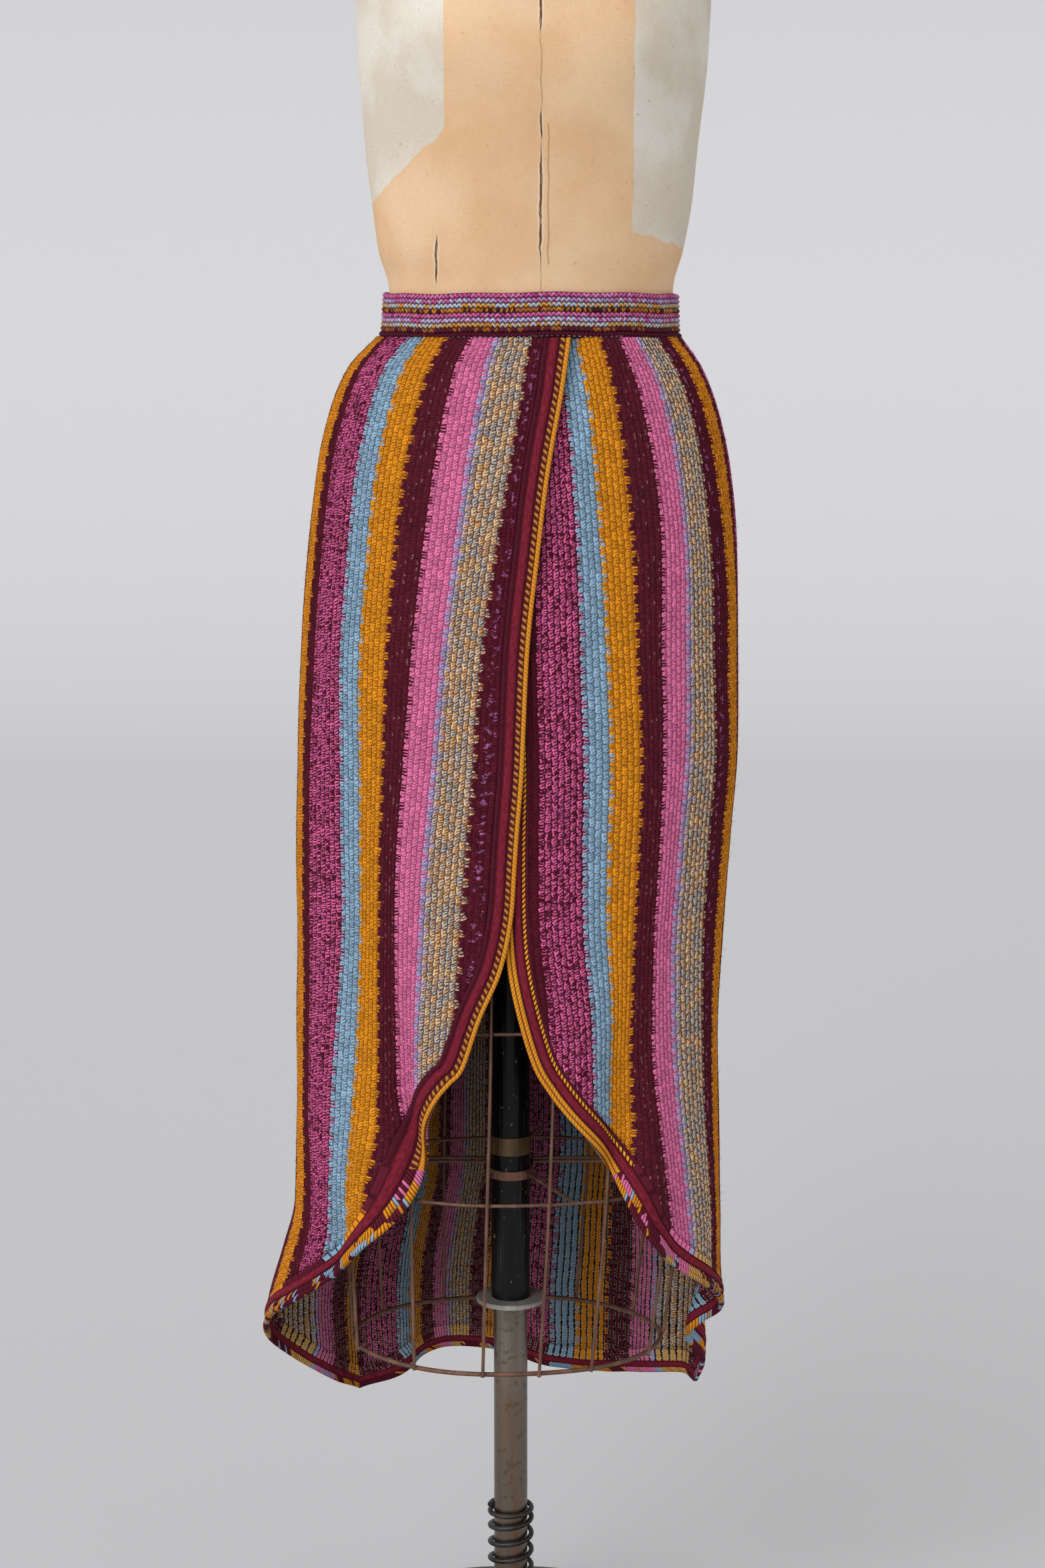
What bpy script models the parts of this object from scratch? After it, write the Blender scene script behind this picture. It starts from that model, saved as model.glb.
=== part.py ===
"""A knit wrap skirt with striped panels, worn by a limbless dress form on a pole stand.

Metres, +Z up. The origin is on the floor at the middle of the pole. The front faces -Y, and +X is the right
of the picture, which is the wearer's left. An angle round the figure is in degrees: 0 at the middle of the
front, 90 at the +X side, 180 at the back. A height is above the floor.
"""
import math

import bmesh
import bpy
from mathutils import Vector

# Cloth
WALL = 0.003              # thickness of the knit
SEAM = 0.0003             # gap between sewn pieces, and between a piece and its seat
BAND = 0.0220             # width of the bound edge
SEAM_ROOM = 0.7           # share of the way to a side seam that a bound edge's inner line may lean
LAP = 0.0054              # how far the under panel lies behind the over panel
WAIST_TOP = 1.2490
WAIST_BOTTOM = 1.2133
WAIST_ROWS = 8            # raised rows of the waistband
ROW_RELIEF = 0.0011
RIGHT_SEAM = -141.0       # side seam of the over panel, at the back left of the picture
LEFT_SEAM = 113.0         # side seam of the under panel
PANEL_ROWS = 14
TURN_HEIGHT = 0.6050      # where a front edge turns from upright to slanting
STEP_WIDE = 0.0300        # spacing along an edge away from the folds
STEP_FINE = 0.0115        # and at a fold

# Stand
POLE_RADIUS = 0.0150
POLE_TOP = 0.9600
TUBE_RADIUS = 0.0172
TUBE_BORE = 0.0156
TUBE_TOP = 1.1500
COLLAR_TOP = 0.3660
DISC_RADIUS = 0.0305
DISC_THICKNESS = 0.0040
HUB_TOP = 0.0700
BASE_RADIUS = 0.2230
SPRING_WIRE = 0.0023
SPRING_RADIUS = 0.0187
SPRING_PITCH = 0.0154
SPRING_TURNS = 7.5

# Form
BOARD_BOTTOM = 0.7970
BOARD_THICKNESS = 0.0120
NECK_TOP = 1.7500
SHELL = 0.0050            # wall of the moulded body
WIRE = 0.0015             # radius of the cage's wires
ROD = 0.0020              # radius of the cage's lowest ring
CROSS_HEIGHT = 0.4810     # of the cage's cross bars
BAR_FRONT = 0.0300        # how far behind the pole's axis the front bar lies
BAR_BACK = 0.0420
ARM_CENTRE = 0.0120       # middle between the two armholes
ARM_FLAT = 0.1485         # from there to an armhole's flat
ARM_HEIGHT = 1.5780

# The oval the cloth's outer face follows: height, centre_x, half_width, front_depth, back_depth
SKIRT_SECTIONS = (
    (1.213, 0.0160, 0.1290, 0.0950, 0.1000),
    (1.188, 0.0132, 0.1500, 0.1000, 0.1100),
    (1.154, 0.0126, 0.1644, 0.1060, 0.1210),
    (1.103, 0.0115, 0.1763, 0.1115, 0.1310),
    (1.035, 0.0106, 0.1842, 0.1160, 0.1410),
    (0.954, 0.0080, 0.1883, 0.1200, 0.1450),
    (0.861, 0.0066, 0.1908, 0.1220, 0.1440),
    (0.791, 0.0031, 0.1892, 0.1230, 0.1420),
    (0.696, -0.0003, 0.1860, 0.1230, 0.1400),
    (0.600, -0.0021, 0.1849, 0.1230, 0.1410),
    (0.503, -0.0022, 0.1872, 0.1230, 0.1440),
    (0.454, -0.0027, 0.1885, 0.1230, 0.1460),
    (0.405, -0.0087, 0.1950, 0.1235, 0.1480),
    (0.356, -0.0138, 0.2030, 0.1240, 0.1500),
    (0.320, -0.0160, 0.2040, 0.1240, 0.1520),
    (0.230, -0.0150, 0.2000, 0.1240, 0.1540),
)

# The body's sections: height, centre_x, half_width, front_depth, back_depth
TORSO_SECTIONS = (
    (0.8093, 0.0040, 0.1690, 0.1040, 0.1220),
    (0.881, 0.0069, 0.1780, 0.1080, 0.1310),
    (0.994, 0.0093, 0.1765, 0.1045, 0.1310),
    (1.085, 0.0112, 0.1675, 0.0990, 0.1200),
    (1.154, 0.0126, 0.1520, 0.0920, 0.1070),
    (1.188, 0.0134, 0.1385, 0.0870, 0.0970),
    (1.211, 0.0165, 0.1200, 0.0845, 0.0885),
    (1.232, 0.0175, 0.1190, 0.0846, 0.0886),
    (1.256, 0.0178, 0.1206, 0.0855, 0.0885),
    (1.284, 0.0174, 0.1286, 0.0900, 0.0910),
    (1.336, 0.0187, 0.1363, 0.0985, 0.0965),
    (1.391, 0.0185, 0.1418, 0.1090, 0.1035),
    (1.446, 0.0193, 0.1467, 0.1160, 0.1080),
    (1.491, 0.0192, 0.1484, 0.1130, 0.1110),
    (1.540, 0.0165, 0.1505, 0.1010, 0.1120),
    (1.590, 0.0130, 0.1560, 0.0860, 0.1050),
    (1.628, 0.0095, 0.1585, 0.0680, 0.0880),
    (1.652, 0.0075, 0.1380, 0.0570, 0.0740),
    (1.674, 0.0060, 0.0960, 0.0520, 0.0630),
    (1.692, 0.0050, 0.0670, 0.0500, 0.0570),
    (1.716, 0.0045, 0.0575, 0.0495, 0.0530),
    (1.750, 0.0045, 0.0560, 0.0490, 0.0510),
)
HOLLOW_HEIGHTS = (0.800, 0.954, 1.085, 1.160, 1.232, 1.330, 1.440, 1.540, 1.610, 1.650, 1.690, 1.740)

# The cage's sections: height, centre_x, half_width, front_depth, back_depth
CAGE_SECTIONS = (
    (0.796, 0.0080, 0.1540, 0.1000, 0.1120),
    (0.630, 0.0070, 0.1530, 0.1030, 0.1130),
    (0.481, 0.0030, 0.1500, 0.1080, 0.1120),
    (0.330, -0.0030, 0.1370, 0.1050, 0.1050),
)

# The waistband's sections: height, centre_x, half_width, front_depth, back_depth
WAIST_SECTIONS = (
    (1.2123, 0.0172, 0.1238, 0.0888, 0.0932),
    (1.2500, 0.0178, 0.1240, 0.0890, 0.0920),
)

# Soft folds of the cloth, each a trough or a crest that runs down to the hem:
# angle, width, height where it starts, height where it is full, how far it stands out
FOLDS = (
    (-29.0, 3.6, 0.720, 0.560, -0.0100),
    (-18.0, 5.5, 0.720, 0.580, 0.0060),
    (-39.0, 6.0, 0.640, 0.480, 0.0090),
    (-51.0, 4.0, 0.500, 0.410, -0.0090),
    (-68.0, 9.0, 0.520, 0.380, 0.0050),
    (-104.0, 11.0, 0.900, 0.420, 0.0040),
    (-126.0, 8.0, 0.620, 0.300, -0.0060),
    (-141.0, 5.0, 0.560, 0.260, 0.0060),
    (-154.0, 6.0, 0.760, 0.300, -0.0110),
    (-170.0, 8.0, 0.820, 0.320, 0.0070),
    (167.0, 6.5, 0.760, 0.300, -0.0090),
    (150.0, 8.0, 0.840, 0.340, 0.0060),
    (133.0, 7.0, 0.700, 0.320, -0.0070),
    (121.0, 5.0, 0.560, 0.280, 0.0050),
    (99.0, 5.5, 0.440, 0.320, -0.0260),
    (30.0, 4.2, 0.680, 0.540, -0.0090),
    (20.0, 5.5, 0.700, 0.580, 0.0050),
    (40.5, 6.0, 0.640, 0.480, 0.0080),
    (62.0, 9.0, 0.560, 0.400, 0.0040),
)

# Places where the cloth swings sideways: angle, width, height where it starts, height where it is full, swing
SWINGS = (
    (-28.0, 7.0, 0.590, 0.495, 6.4),
    (35.0, 7.0, 0.560, 0.485, -2.4),
)

# Cut edges of the panels: height, angle
OVER_EDGE = (
    (1.2130, 15.5), (1.1840, 12.8), (1.1360, 8.9), (1.0620, 5.3), (0.9600, 2.6), (0.8570, 1.6), (0.7330, 0.6),
    (0.6950, -1.2), (0.6620, -5.6), (0.6360, -7.9), (0.6050, -11.2), (0.5840, -16.6), (0.5580, -22.0),
    (0.5400, -25.4), (0.5160, -28.4), (0.4840, -31.4), (0.4620, -34.4), (0.4350, -41.2), (0.4090, -49.4),
    (0.3820, -60.5), (0.3560, -77.0), (0.3350, -91.0), (0.2980, -109.0), (0.2700, -121.5), (0.2490, -132.0),
    (0.2340, -141.0),
)
UNDER_EDGE = (
    (1.2130, -9.0), (1.0620, -6.5), (0.9600, -5.0), (0.8570, -3.6), (0.7330, -2.0), (0.6950, -1.0),
    (0.6790, 0.5), (0.6470, 2.5), (0.6160, 5.2), (0.5950, 8.4), (0.5730, 12.9), (0.5560, 17.2),
    (0.5320, 24.0), (0.5080, 30.5), (0.4850, 34.6), (0.4600, 38.0), (0.4330, 44.5), (0.4190, 49.8),
    (0.4020, 59.0), (0.3850, 70.0), (0.3660, 83.0), (0.3440, 93.0), (0.3080, 102.0), (0.2640, 113.0),
)
BACK_HEM = (
    (219.0, 0.2340), (212.0, 0.2400), (206.0, 0.2490), (201.0, 0.2600), (194.0, 0.2640), (180.0, 0.2620),
    (166.0, 0.2510), (155.0, 0.2450), (147.0, 0.2470), (139.0, 0.2540), (128.0, 0.2620), (118.0, 0.2650),
    (113.0, 0.2640),
)

# Across a bound edge, from its free side: distance, and how far it stands out of the knit
BAND_PROFILE = (
    (0.0000, -0.0006), (0.0024, 0.0010), (0.0060, 0.0000), (0.0088, 0.0010), (0.0158, 0.0010),
    (0.0182, 0.0000), (0.0220, 0.0004),
)

CAGE_ANGLES = (-70.0, -35.0, -8.5, 11.5, 31.5, 62.5, 95.0, 125.0, 153.0, -155.0, -125.0, -97.0)


def smooth(rows, at, column=1):
    """The value of a table's column at a place in its first column, on a curve that never overshoots."""
    rising = rows[-1][0] > rows[0][0]
    table = rows if rising else rows[::-1]
    xs = [row[0] for row in table]
    ys = [row[column] for row in table]
    if at <= xs[0]:
        return ys[0]
    if at >= xs[-1]:
        return ys[-1]
    slopes = [(ys[i + 1] - ys[i]) / (xs[i + 1] - xs[i]) for i in range(len(xs) - 1)]

    def tangent(i):
        if i == 0 or i == len(xs) - 1:
            return slopes[min(i, len(slopes) - 1)]
        before, after = slopes[i - 1], slopes[i]
        return 0.0 if before * after <= 0 else 2 * before * after / (before + after)

    i = max(j for j in range(len(xs) - 1) if xs[j] <= at)
    step = xs[i + 1] - xs[i]
    t = (at - xs[i]) / step
    return ((1 + 2 * t) * (1 - t) ** 2 * ys[i] + t * (1 - t) ** 2 * step * tangent(i)
            + t * t * (3 - 2 * t) * ys[i + 1] + t * t * (t - 1) * step * tangent(i + 1))


def ramp(height, starts, full):
    """0 above the height where a fold starts, 1 below the height where it is full."""
    t = min(1.0, max(0.0, (starts - height) / (starts - full)))
    return t * t * (3 - 2 * t)


def turn_between(angle, centre):
    """The signed turn from one angle to another, between -180 and 180 degrees."""
    return (angle - centre + 180.0) % 360.0 - 180.0


def oval(sections, angle, height, grow=0.0):
    """A point on an oval section, which is shallower in front than behind."""
    turn = math.radians(angle)
    depth = smooth(sections, height, 3 if math.cos(turn) > 0 else 4) + grow
    half = smooth(sections, height, 2) + grow
    return Vector((smooth(sections, height, 1) + half * math.sin(turn), -depth * math.cos(turn), height))


def oval_out(sections, angle, height):
    """The level direction that points straight out of an oval section."""
    turn = math.radians(angle)
    depth = smooth(sections, height, 3 if math.cos(turn) > 0 else 4)
    half = smooth(sections, height, 2)
    return Vector((math.sin(turn) / half, -math.cos(turn) / depth, 0)).normalized()


def cloth_place(angle, height):
    """A point on the outer face of the skirt, with its folds."""
    swung = angle
    for centre, width, starts, full, swing in SWINGS:
        swung += swing * ramp(height, starts, full) * math.exp(-(turn_between(angle, centre) / width) ** 2)
    out = 0.0
    for centre, width, starts, full, depth in FOLDS:
        out += depth * ramp(height, starts, full) * math.exp(-(turn_between(angle, centre) / width) ** 2)
    return oval(SKIRT_SECTIONS, swung, height) + oval_out(SKIRT_SECTIONS, swung, height) * out


def cloth_normal(angle, height):
    """The direction straight out of the cloth's outer face."""
    across = cloth_place(angle + 0.4, height) - cloth_place(angle - 0.4, height)
    down = cloth_place(angle, height - 0.002) - cloth_place(angle, height + 0.002)
    return down.cross(across).normalized()


def lap_in(angle, height):
    """How far the under panel goes in, where the over panel lies on it."""
    past_edge = angle - smooth(OVER_EDGE, height)
    sideways = 1.0 - min(1.0, max(0.0, (past_edge - 0.8) / 9.0))
    return LAP * sideways * sideways * (3 - 2 * sideways) * (1.0 - ramp(height, 0.690, 0.600))


def cloth_point(angle, height, out, under):
    """A point of the cloth, raised out of its face or sunk behind the over panel."""
    sunk = lap_in(angle, height) if under else 0.0
    return cloth_place(angle, height) + cloth_normal(angle, height) * (out - sunk)


def metric(angle, height):
    """Metres along the cloth for each degree of angle."""
    turn = math.radians(angle)
    depth = smooth(SKIRT_SECTIONS, height, 3 if math.cos(turn) > 0 else 4)
    half = smooth(SKIRT_SECTIONS, height, 2)
    return math.radians(math.hypot(half * math.cos(turn), depth * math.sin(turn)))


def step_at(angle, height):
    """The spacing wanted at a place: fine where a narrow fold is deep, wide elsewhere."""
    near = 9.0
    for centre, width, starts, full, out in FOLDS:
        if ramp(height, starts, full) > 0.2:
            near = min(near, abs(turn_between(angle, centre)) / width + max(0.0, (width - 5.0) / 5.0))
    return STEP_FINE + (STEP_WIDE - STEP_FINE) * min(1.0, max(0.0, (near - 0.5) / 1.6))


def spread(places, count=None):
    """Places along a line, evenly spaced, or closer together at the folds when no count is given."""
    costs = [0.0]
    for (a0, h0), (a1, h1) in zip(places, places[1:]):
        length = math.hypot((a1 - a0) * metric((a0 + a1) / 2, (h0 + h1) / 2), h1 - h0)
        costs.append(costs[-1] + (length if count else length / step_at((a0 + a1) / 2, (h0 + h1) / 2)))
    parts = count or math.ceil(costs[-1])
    path = []
    k = 0
    for i in range(parts + 1):
        want = costs[-1] * i / parts
        while k < len(places) - 2 and costs[k + 1] < want:
            k += 1
        t = (want - costs[k]) / (costs[k + 1] - costs[k])
        path.append(tuple(p + (q - p) * t for p, q in zip(places[k], places[k + 1])))
    return path


def front_edge(rows):
    """A front panel's cut edge: a place for each row of the panel down to the turn, then for each column."""
    fine = 500
    heights = [rows[0][0] + (rows[-1][0] - rows[0][0]) * i / fine for i in range(fine + 1)]
    turn = (smooth(rows, TURN_HEIGHT), TURN_HEIGHT)
    upper = [(smooth(rows, h), h) for h in heights if h > TURN_HEIGHT] + [turn]
    lower = [turn] + [(smooth(rows, h), h) for h in heights if h < TURN_HEIGHT]
    return spread(upper, PANEL_ROWS)[:-1] + spread(lower)


def hem_edge(rows):
    """The back panel's hem, from one side seam to the other."""
    gap = SEAM / metric(rows[0][0], rows[0][1])
    first, last = rows[0][0] - gap, rows[-1][0] + gap
    fine = 300
    angles = [first + (last - first) * i / fine for i in range(fine + 1)]
    return spread([(angle, smooth(rows, angle)) for angle in angles])


def offset_path(path, width, side, ends):
    """A path moved sideways on the cloth. An end is cut level, or upright where it meets a side seam."""
    moved = []
    for i, (angle, height) in enumerate(path):
        a0, h0 = path[max(i - 1, 0)]
        a1, h1 = path[min(i + 1, len(path) - 1)]
        scale = metric(angle, height)
        along = Vector(((a1 - a0) * scale, h1 - h0)).normalized()
        square = Vector((along.y, -along.x)) * side
        sideways = square.x
        for end, seam in zip(ends, (path[0], path[-1])):
            room = abs(seam[0] - angle) * scale * SEAM_ROOM / width if width > 0 else 1.0
            if end == "upright" and sideways * (seam[0] - angle) >= 0 and abs(sideways) > room:
                sideways = math.copysign(room, sideways)
        if ends[0] == "level" and i == 0:
            across = Vector((1.0 / square.x, 0.0))
        elif sideways != square.x:
            across = Vector((sideways, (1.0 - sideways * square.x) / square.y))
        else:
            across = square
        moved.append((angle + across.x * width / scale, height + across.y * width))
    return moved


def finish(name, mesh_edit, material, flat_over=40.0):
    """Turns the built faces into a named object. Twisted faces are split the same way all over."""
    bmesh.ops.triangulate(mesh_edit, faces=mesh_edit.faces, quad_method="FIXED")
    bmesh.ops.recalc_face_normals(mesh_edit, faces=mesh_edit.faces)
    mesh = bpy.data.meshes.new(name)
    mesh_edit.to_mesh(mesh)
    mesh_edit.free()
    mesh.materials.append(material)
    mesh.shade_smooth()
    mesh.set_sharp_from_angle(angle=math.radians(flat_over))
    made = bpy.data.objects.new(name, mesh)
    PART.objects.link(made)
    return made


def loft(name, rings, material, closed=False, flat_over=40.0):
    """Joins closed rings of points in order. The two ends are capped unless the rings close on themselves."""
    edit = bmesh.new()
    rows = [[edit.verts.new(point) for point in ring] for ring in rings]
    count = len(rows[0])
    pairs = list(zip(rows, rows[1:])) + ([(rows[-1], rows[0])] if closed else [])
    for one, two in pairs:
        for i in range(count):
            edit.faces.new((one[i], one[(i + 1) % count], two[(i + 1) % count], two[i]))
    if not closed:
        for row in (rows[0], rows[-1]):
            for i in range(count - 2):
                edit.faces.new((row[-1], row[i], row[i + 1]))
    return finish(name, edit, material, flat_over)


def cloth_wall(name, grid, under, material):
    """A wall of cloth from a grid of places. Its two faces are joined by a rim all round."""
    edit = bmesh.new()
    faces = []
    for out in (0.0, -WALL):
        faces.append([[edit.verts.new(cloth_point(a, h, out, under)) for a, h in row] for row in grid])
    outer, inner = faces
    for sheet in faces:
        for row, below in zip(sheet, sheet[1:]):
            for i in range(len(row) - 1):
                edit.faces.new((row[i], row[i + 1], below[i + 1], below[i]))

    def rim(sheet):
        down = [row[-1] for row in sheet[1:-1]]
        up = [row[0] for row in reversed(sheet[1:-1])]
        return sheet[0] + down + sheet[-1][::-1] + up

    loop_out, loop_in = rim(outer), rim(inner)
    for i in range(len(loop_out)):
        j = (i + 1) % len(loop_out)
        edit.faces.new((loop_out[j], loop_out[i], loop_in[i], loop_in[j]))
    return finish(name, edit, material)


def panel_grid(near, top, low, far):
    """Fills the space between four lines of places, row by row."""
    rows, columns = len(near), len(low)
    grid = []
    for i in range(rows):
        t = i / (rows - 1)
        line = []
        for j in range(columns):
            s = (low[j][0] - low[0][0]) / (low[-1][0] - low[0][0])
            place = []
            for k in (0, 1):
                upright = (1 - t) * top[j][k] + t * low[j][k]
                level = (1 - s) * near[i][k] + s * far[i][k]
                corners_above = (1 - s) * top[0][k] + s * top[-1][k]
                corners_below = (1 - s) * low[0][k] + s * low[-1][k]
                place.append(upright + level - (1 - t) * corners_above - t * corners_below)
            line.append(tuple(place))
        grid.append(line)
    return grid


def front_panel(name, edge, side, seam, under, material):
    """A front panel, from the waist to its bound edge, with columns that run down the wales."""
    inner = offset_path(edge, BAND + SEAM, side, ("level", "upright"))
    near, low = inner[:PANEL_ROWS + 1], inner[PANEL_ROWS:]
    high = near[0][1]
    top = []
    for angle, _ in low:
        share = (angle - low[0][0]) / (seam - low[0][0])
        top.append((near[0][0] + (seam - near[0][0]) * share, high))
    far = [(seam, high + (low[-1][1] - high) * i / PANEL_ROWS) for i in range(PANEL_ROWS + 1)]
    return cloth_wall(name, panel_grid(near, top, low, far), under, material)


def back_panel(name, hem, material):
    """The back panel, between the two side seams."""
    low = offset_path(hem, BAND + SEAM, 1.0, ("upright", "upright"))
    high = WAIST_BOTTOM - SEAM
    top = [(angle, high) for angle, _ in low]
    near, far = ([(end[0], high + (end[1] - high) * i / PANEL_ROWS) for i in range(PANEL_ROWS + 1)]
                 for end in (low[0], low[-1]))
    return cloth_wall(name, panel_grid(near, top, low, far), False, material)


def bound_edge(name, edge, side, ends, under, material):
    """The bound edge of a panel: a red roll between twisted cords, on a plain inside."""
    lines = [(offset_path(edge, across, side, ends), out) for across, out in BAND_PROFILE]
    inside = [offset_path(edge, BAND * share, side, ends) for share in (1.0, 0.7, 0.35, 0.0)]
    rings = []
    for i in range(len(edge)):
        ring = [cloth_point(*line[i], out, under) for line, out in lines]
        ring += [cloth_point(*line[i], -WALL, under) for line in inside]
        rings.append(ring)
    return loft(name, rings, material)


def waistband(material, around=30):
    """The waistband: raised rows of chain stitches all round, over a plain inside."""
    tall = (WAIST_TOP - WAIST_BOTTOM) / WAIST_ROWS
    profile = [(WAIST_BOTTOM, -0.0006)]
    for i in range(WAIST_ROWS):
        profile.append((WAIST_BOTTOM + (i + 0.5) * tall, ROW_RELIEF))
        profile.append((WAIST_BOTTOM + (i + 1.0) * tall, -0.0006 if i == WAIST_ROWS - 1 else 0.0))
    profile += [(WAIST_TOP, -WALL), (WAIST_BOTTOM, -WALL)]
    rings = []
    for i in range(around):
        angle = 360.0 * i / around
        ring = []
        for height, out in profile:
            flare = 0.0020 * (WAIST_TOP - height) / (WAIST_TOP - WAIST_BOTTOM)
            ring.append(oval(WAIST_SECTIONS, angle, height, out + flare))
        rings.append(ring)
    return loft("waistband", rings, material, closed=True)


def bust(angle, height):
    """The two low mounds at the front of the body."""
    level = math.exp(-((height - 1.452) / 0.052) ** 2)
    sides = sum(math.exp(-(turn_between(angle, centre) / 20.0) ** 2) for centre in (-33.0, 33.0))
    return 0.0100 * level * sides


def torso(material, around=28):
    """The moulded body, hollow and open below, flat where the arm plates and the neck cap sit."""
    rings = []
    for row in TORSO_SECTIONS:
        height = row[0]
        ring = []
        for i in range(around):
            angle = 360.0 * i / around
            raised = oval_out(TORSO_SECTIONS, angle, height) * bust(angle, height)
            ring.append(oval(TORSO_SECTIONS, angle, height) + raised)
        rings.append(ring)
    body = loft("torso", rings, material, flat_over=60.0)
    inside = []
    for height in HOLLOW_HEIGHTS:
        inside.append([oval(TORSO_SECTIONS, 360.0 * i / around, height, -SHELL) for i in range(around)])
    hollow = loft("torso_hollow", inside, material)
    cut(body, hollow)
    for side in (-1, 1):
        beyond = ARM_CENTRE + side * (ARM_FLAT + 0.05)
        bpy.ops.mesh.primitive_cube_add(size=1.0, location=(beyond, 0, ARM_HEIGHT))
        block = bpy.context.active_object
        block.name = "armhole_flat_" + ("right" if side < 0 else "left")
        block.scale = (0.100, 0.300, 0.170)
        bpy.ops.object.transform_apply(location=False, rotation=False, scale=True)
        move_to(block, CUTTERS)
        cut(body, block)
    return body


def cut(body, cutter):
    """Takes one shape out of another."""
    if cutter.name in PART.objects:
        move_to(cutter, CUTTERS)
    cutter.hide_render = True
    cutter.display_type = "WIRE"
    modifier = body.modifiers.new("cut_" + cutter.name, "BOOLEAN")
    modifier.operation = "DIFFERENCE"
    modifier.object = cutter


def move_to(made, collection):
    """Puts an object in one collection and in no other."""
    for owner in list(made.users_collection):
        owner.objects.unlink(made)
    collection.objects.link(made)


def arm_plate(name, side, material):
    """A flat oval plate that closes an armhole."""
    bpy.ops.mesh.primitive_cylinder_add(vertices=28, radius=1.0, depth=0.008, rotation=(0, math.pi / 2, 0))
    plate = bpy.context.active_object
    plate.name = plate.data.name = name
    plate.scale = (0.052, 0.036, 1.0)
    plate.location = (ARM_CENTRE + side * (ARM_FLAT + SEAM + 0.004), 0.004, ARM_HEIGHT)
    bpy.ops.object.transform_apply(location=True, rotation=True, scale=True)
    plate.data.materials.append(material)
    move_to(plate, PART)
    return plate


def turned(name, profile, material, steps=32, place=(0.0, 0.0)):
    """A turned piece: its outline, from the top of its outer side down, is spun about the upright axis."""
    mesh = bpy.data.meshes.new(name)
    mesh.from_pydata([(r, 0, z) for r, z in profile], [(i, i + 1) for i in range(len(profile) - 1)], [])
    made = bpy.data.objects.new(name, mesh)
    made.location = (*place, 0)
    screw = made.modifiers.new("turn", "SCREW")
    screw.axis = "Z"
    screw.steps = screw.render_steps = steps
    screw.use_merge_vertices = True
    screw.merge_threshold = 0.00001
    mesh.materials.append(material)
    PART.objects.link(made)
    return made


def ring_profile(inner, outer, low, high):
    """The closed outline of a plain ring."""
    return [(outer, high), (outer, low), (inner, low), (inner, high), (outer, high)]


def wire(name, points, radius, material, closed=False, sides=1):
    """A bent wire through its points."""
    curve = bpy.data.curves.new(name, "CURVE")
    curve.dimensions = "3D"
    curve.bevel_depth = radius
    curve.bevel_resolution = sides
    curve.use_fill_caps = True
    spline = curve.splines.new("POLY")
    spline.points.add(len(points) - 1)
    for point, place in zip(spline.points, points):
        point.co = (*place, 1.0)
    spline.use_cyclic_u = closed
    curve.materials.append(material)
    made = bpy.data.objects.new(name, curve)
    PART.objects.link(made)
    return made


def cage(metal):
    """Three rings, upright wires outside them, and the cross pieces that hold the tube."""
    rings = (("cage_ring_top", 0.630, WIRE), ("cage_ring_middle", CROSS_HEIGHT, WIRE),
             ("cage_ring_bottom", 0.330, ROD))
    around = 26
    for name, height, radius in rings:
        points = [oval(CAGE_SECTIONS, 360.0 * i / around, height) for i in range(around)]
        wire(name, points, radius, metal, closed=True)
    top, bottom = BOARD_BOTTOM - SEAM, rings[-1][1] - WIRE
    for number, angle in enumerate(CAGE_ANGLES, 1):
        stations = []
        for i in range(5):
            height = top + (bottom - top) * i / 4
            outside = oval_out(CAGE_SECTIONS, angle, height) * (ROD + WIRE + SEAM)
            stations.append(oval(CAGE_SECTIONS, angle, height) + outside)
        wire(f"cage_wire_{number:02d}", stations, WIRE, metal)
    cross(metal)


def cross(metal):
    """Two bars behind the tube, a strap round its front and two braces to the middle ring."""
    level = CROSS_HEIGHT
    centre = smooth(CAGE_SECTIONS, level, 1)
    half = smooth(CAGE_SECTIONS, level, 2)
    back = smooth(CAGE_SECTIONS, level, 4)
    front = smooth(CAGE_SECTIONS, level, 3)
    for name, y in (("cage_bar_front", BAR_FRONT), ("cage_bar_back", BAR_BACK)):
        reach = half * math.sqrt(1 - (y / back) ** 2) - 2 * WIRE - SEAM
        wire(name, [(centre + reach * t, y, level) for t in (-1.0, 0.0, 1.0)], WIRE, metal)
    thick, tall, radius = 0.0020, 0.0078, TUBE_RADIUS + 2 * SEAM
    path = [(-radius, BAR_FRONT - WIRE - SEAM)]
    path += [(-radius * math.cos(math.pi * i / 12), -radius * math.sin(math.pi * i / 12)) for i in range(13)]
    path += [(radius, BAR_FRONT - WIRE - SEAM)]
    rings = []
    for i, (x, y) in enumerate(path):
        outward = Vector((x, min(y, 0.0), 0)).normalized() if y < 0 else Vector((math.copysign(1.0, x), 0, 0))
        inner = Vector((x, y, level))
        rings.append([inner + Vector((0, 0, -tall / 2)), inner + outward * thick + Vector((0, 0, -tall / 2)),
                      inner + outward * thick + Vector((0, 0, tall / 2)), inner + Vector((0, 0, tall / 2))])
    loft("cage_strap", rings, metal)
    for name, side, foot in (("cage_brace_right", -1, -0.0450), ("cage_brace_left", 1, 0.0560)):
        start = Vector((side * (radius + thick) * 0.82, -(radius + thick) * 0.62, level))
        ring_y = -front * math.sqrt(1 - ((foot - centre) / half) ** 2)
        end = Vector((foot, ring_y, level))
        way = (end - start).normalized()
        wire(name, [start + way * (WIRE + SEAM), end - way * 1.95 * WIRE], WIRE, metal)


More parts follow.
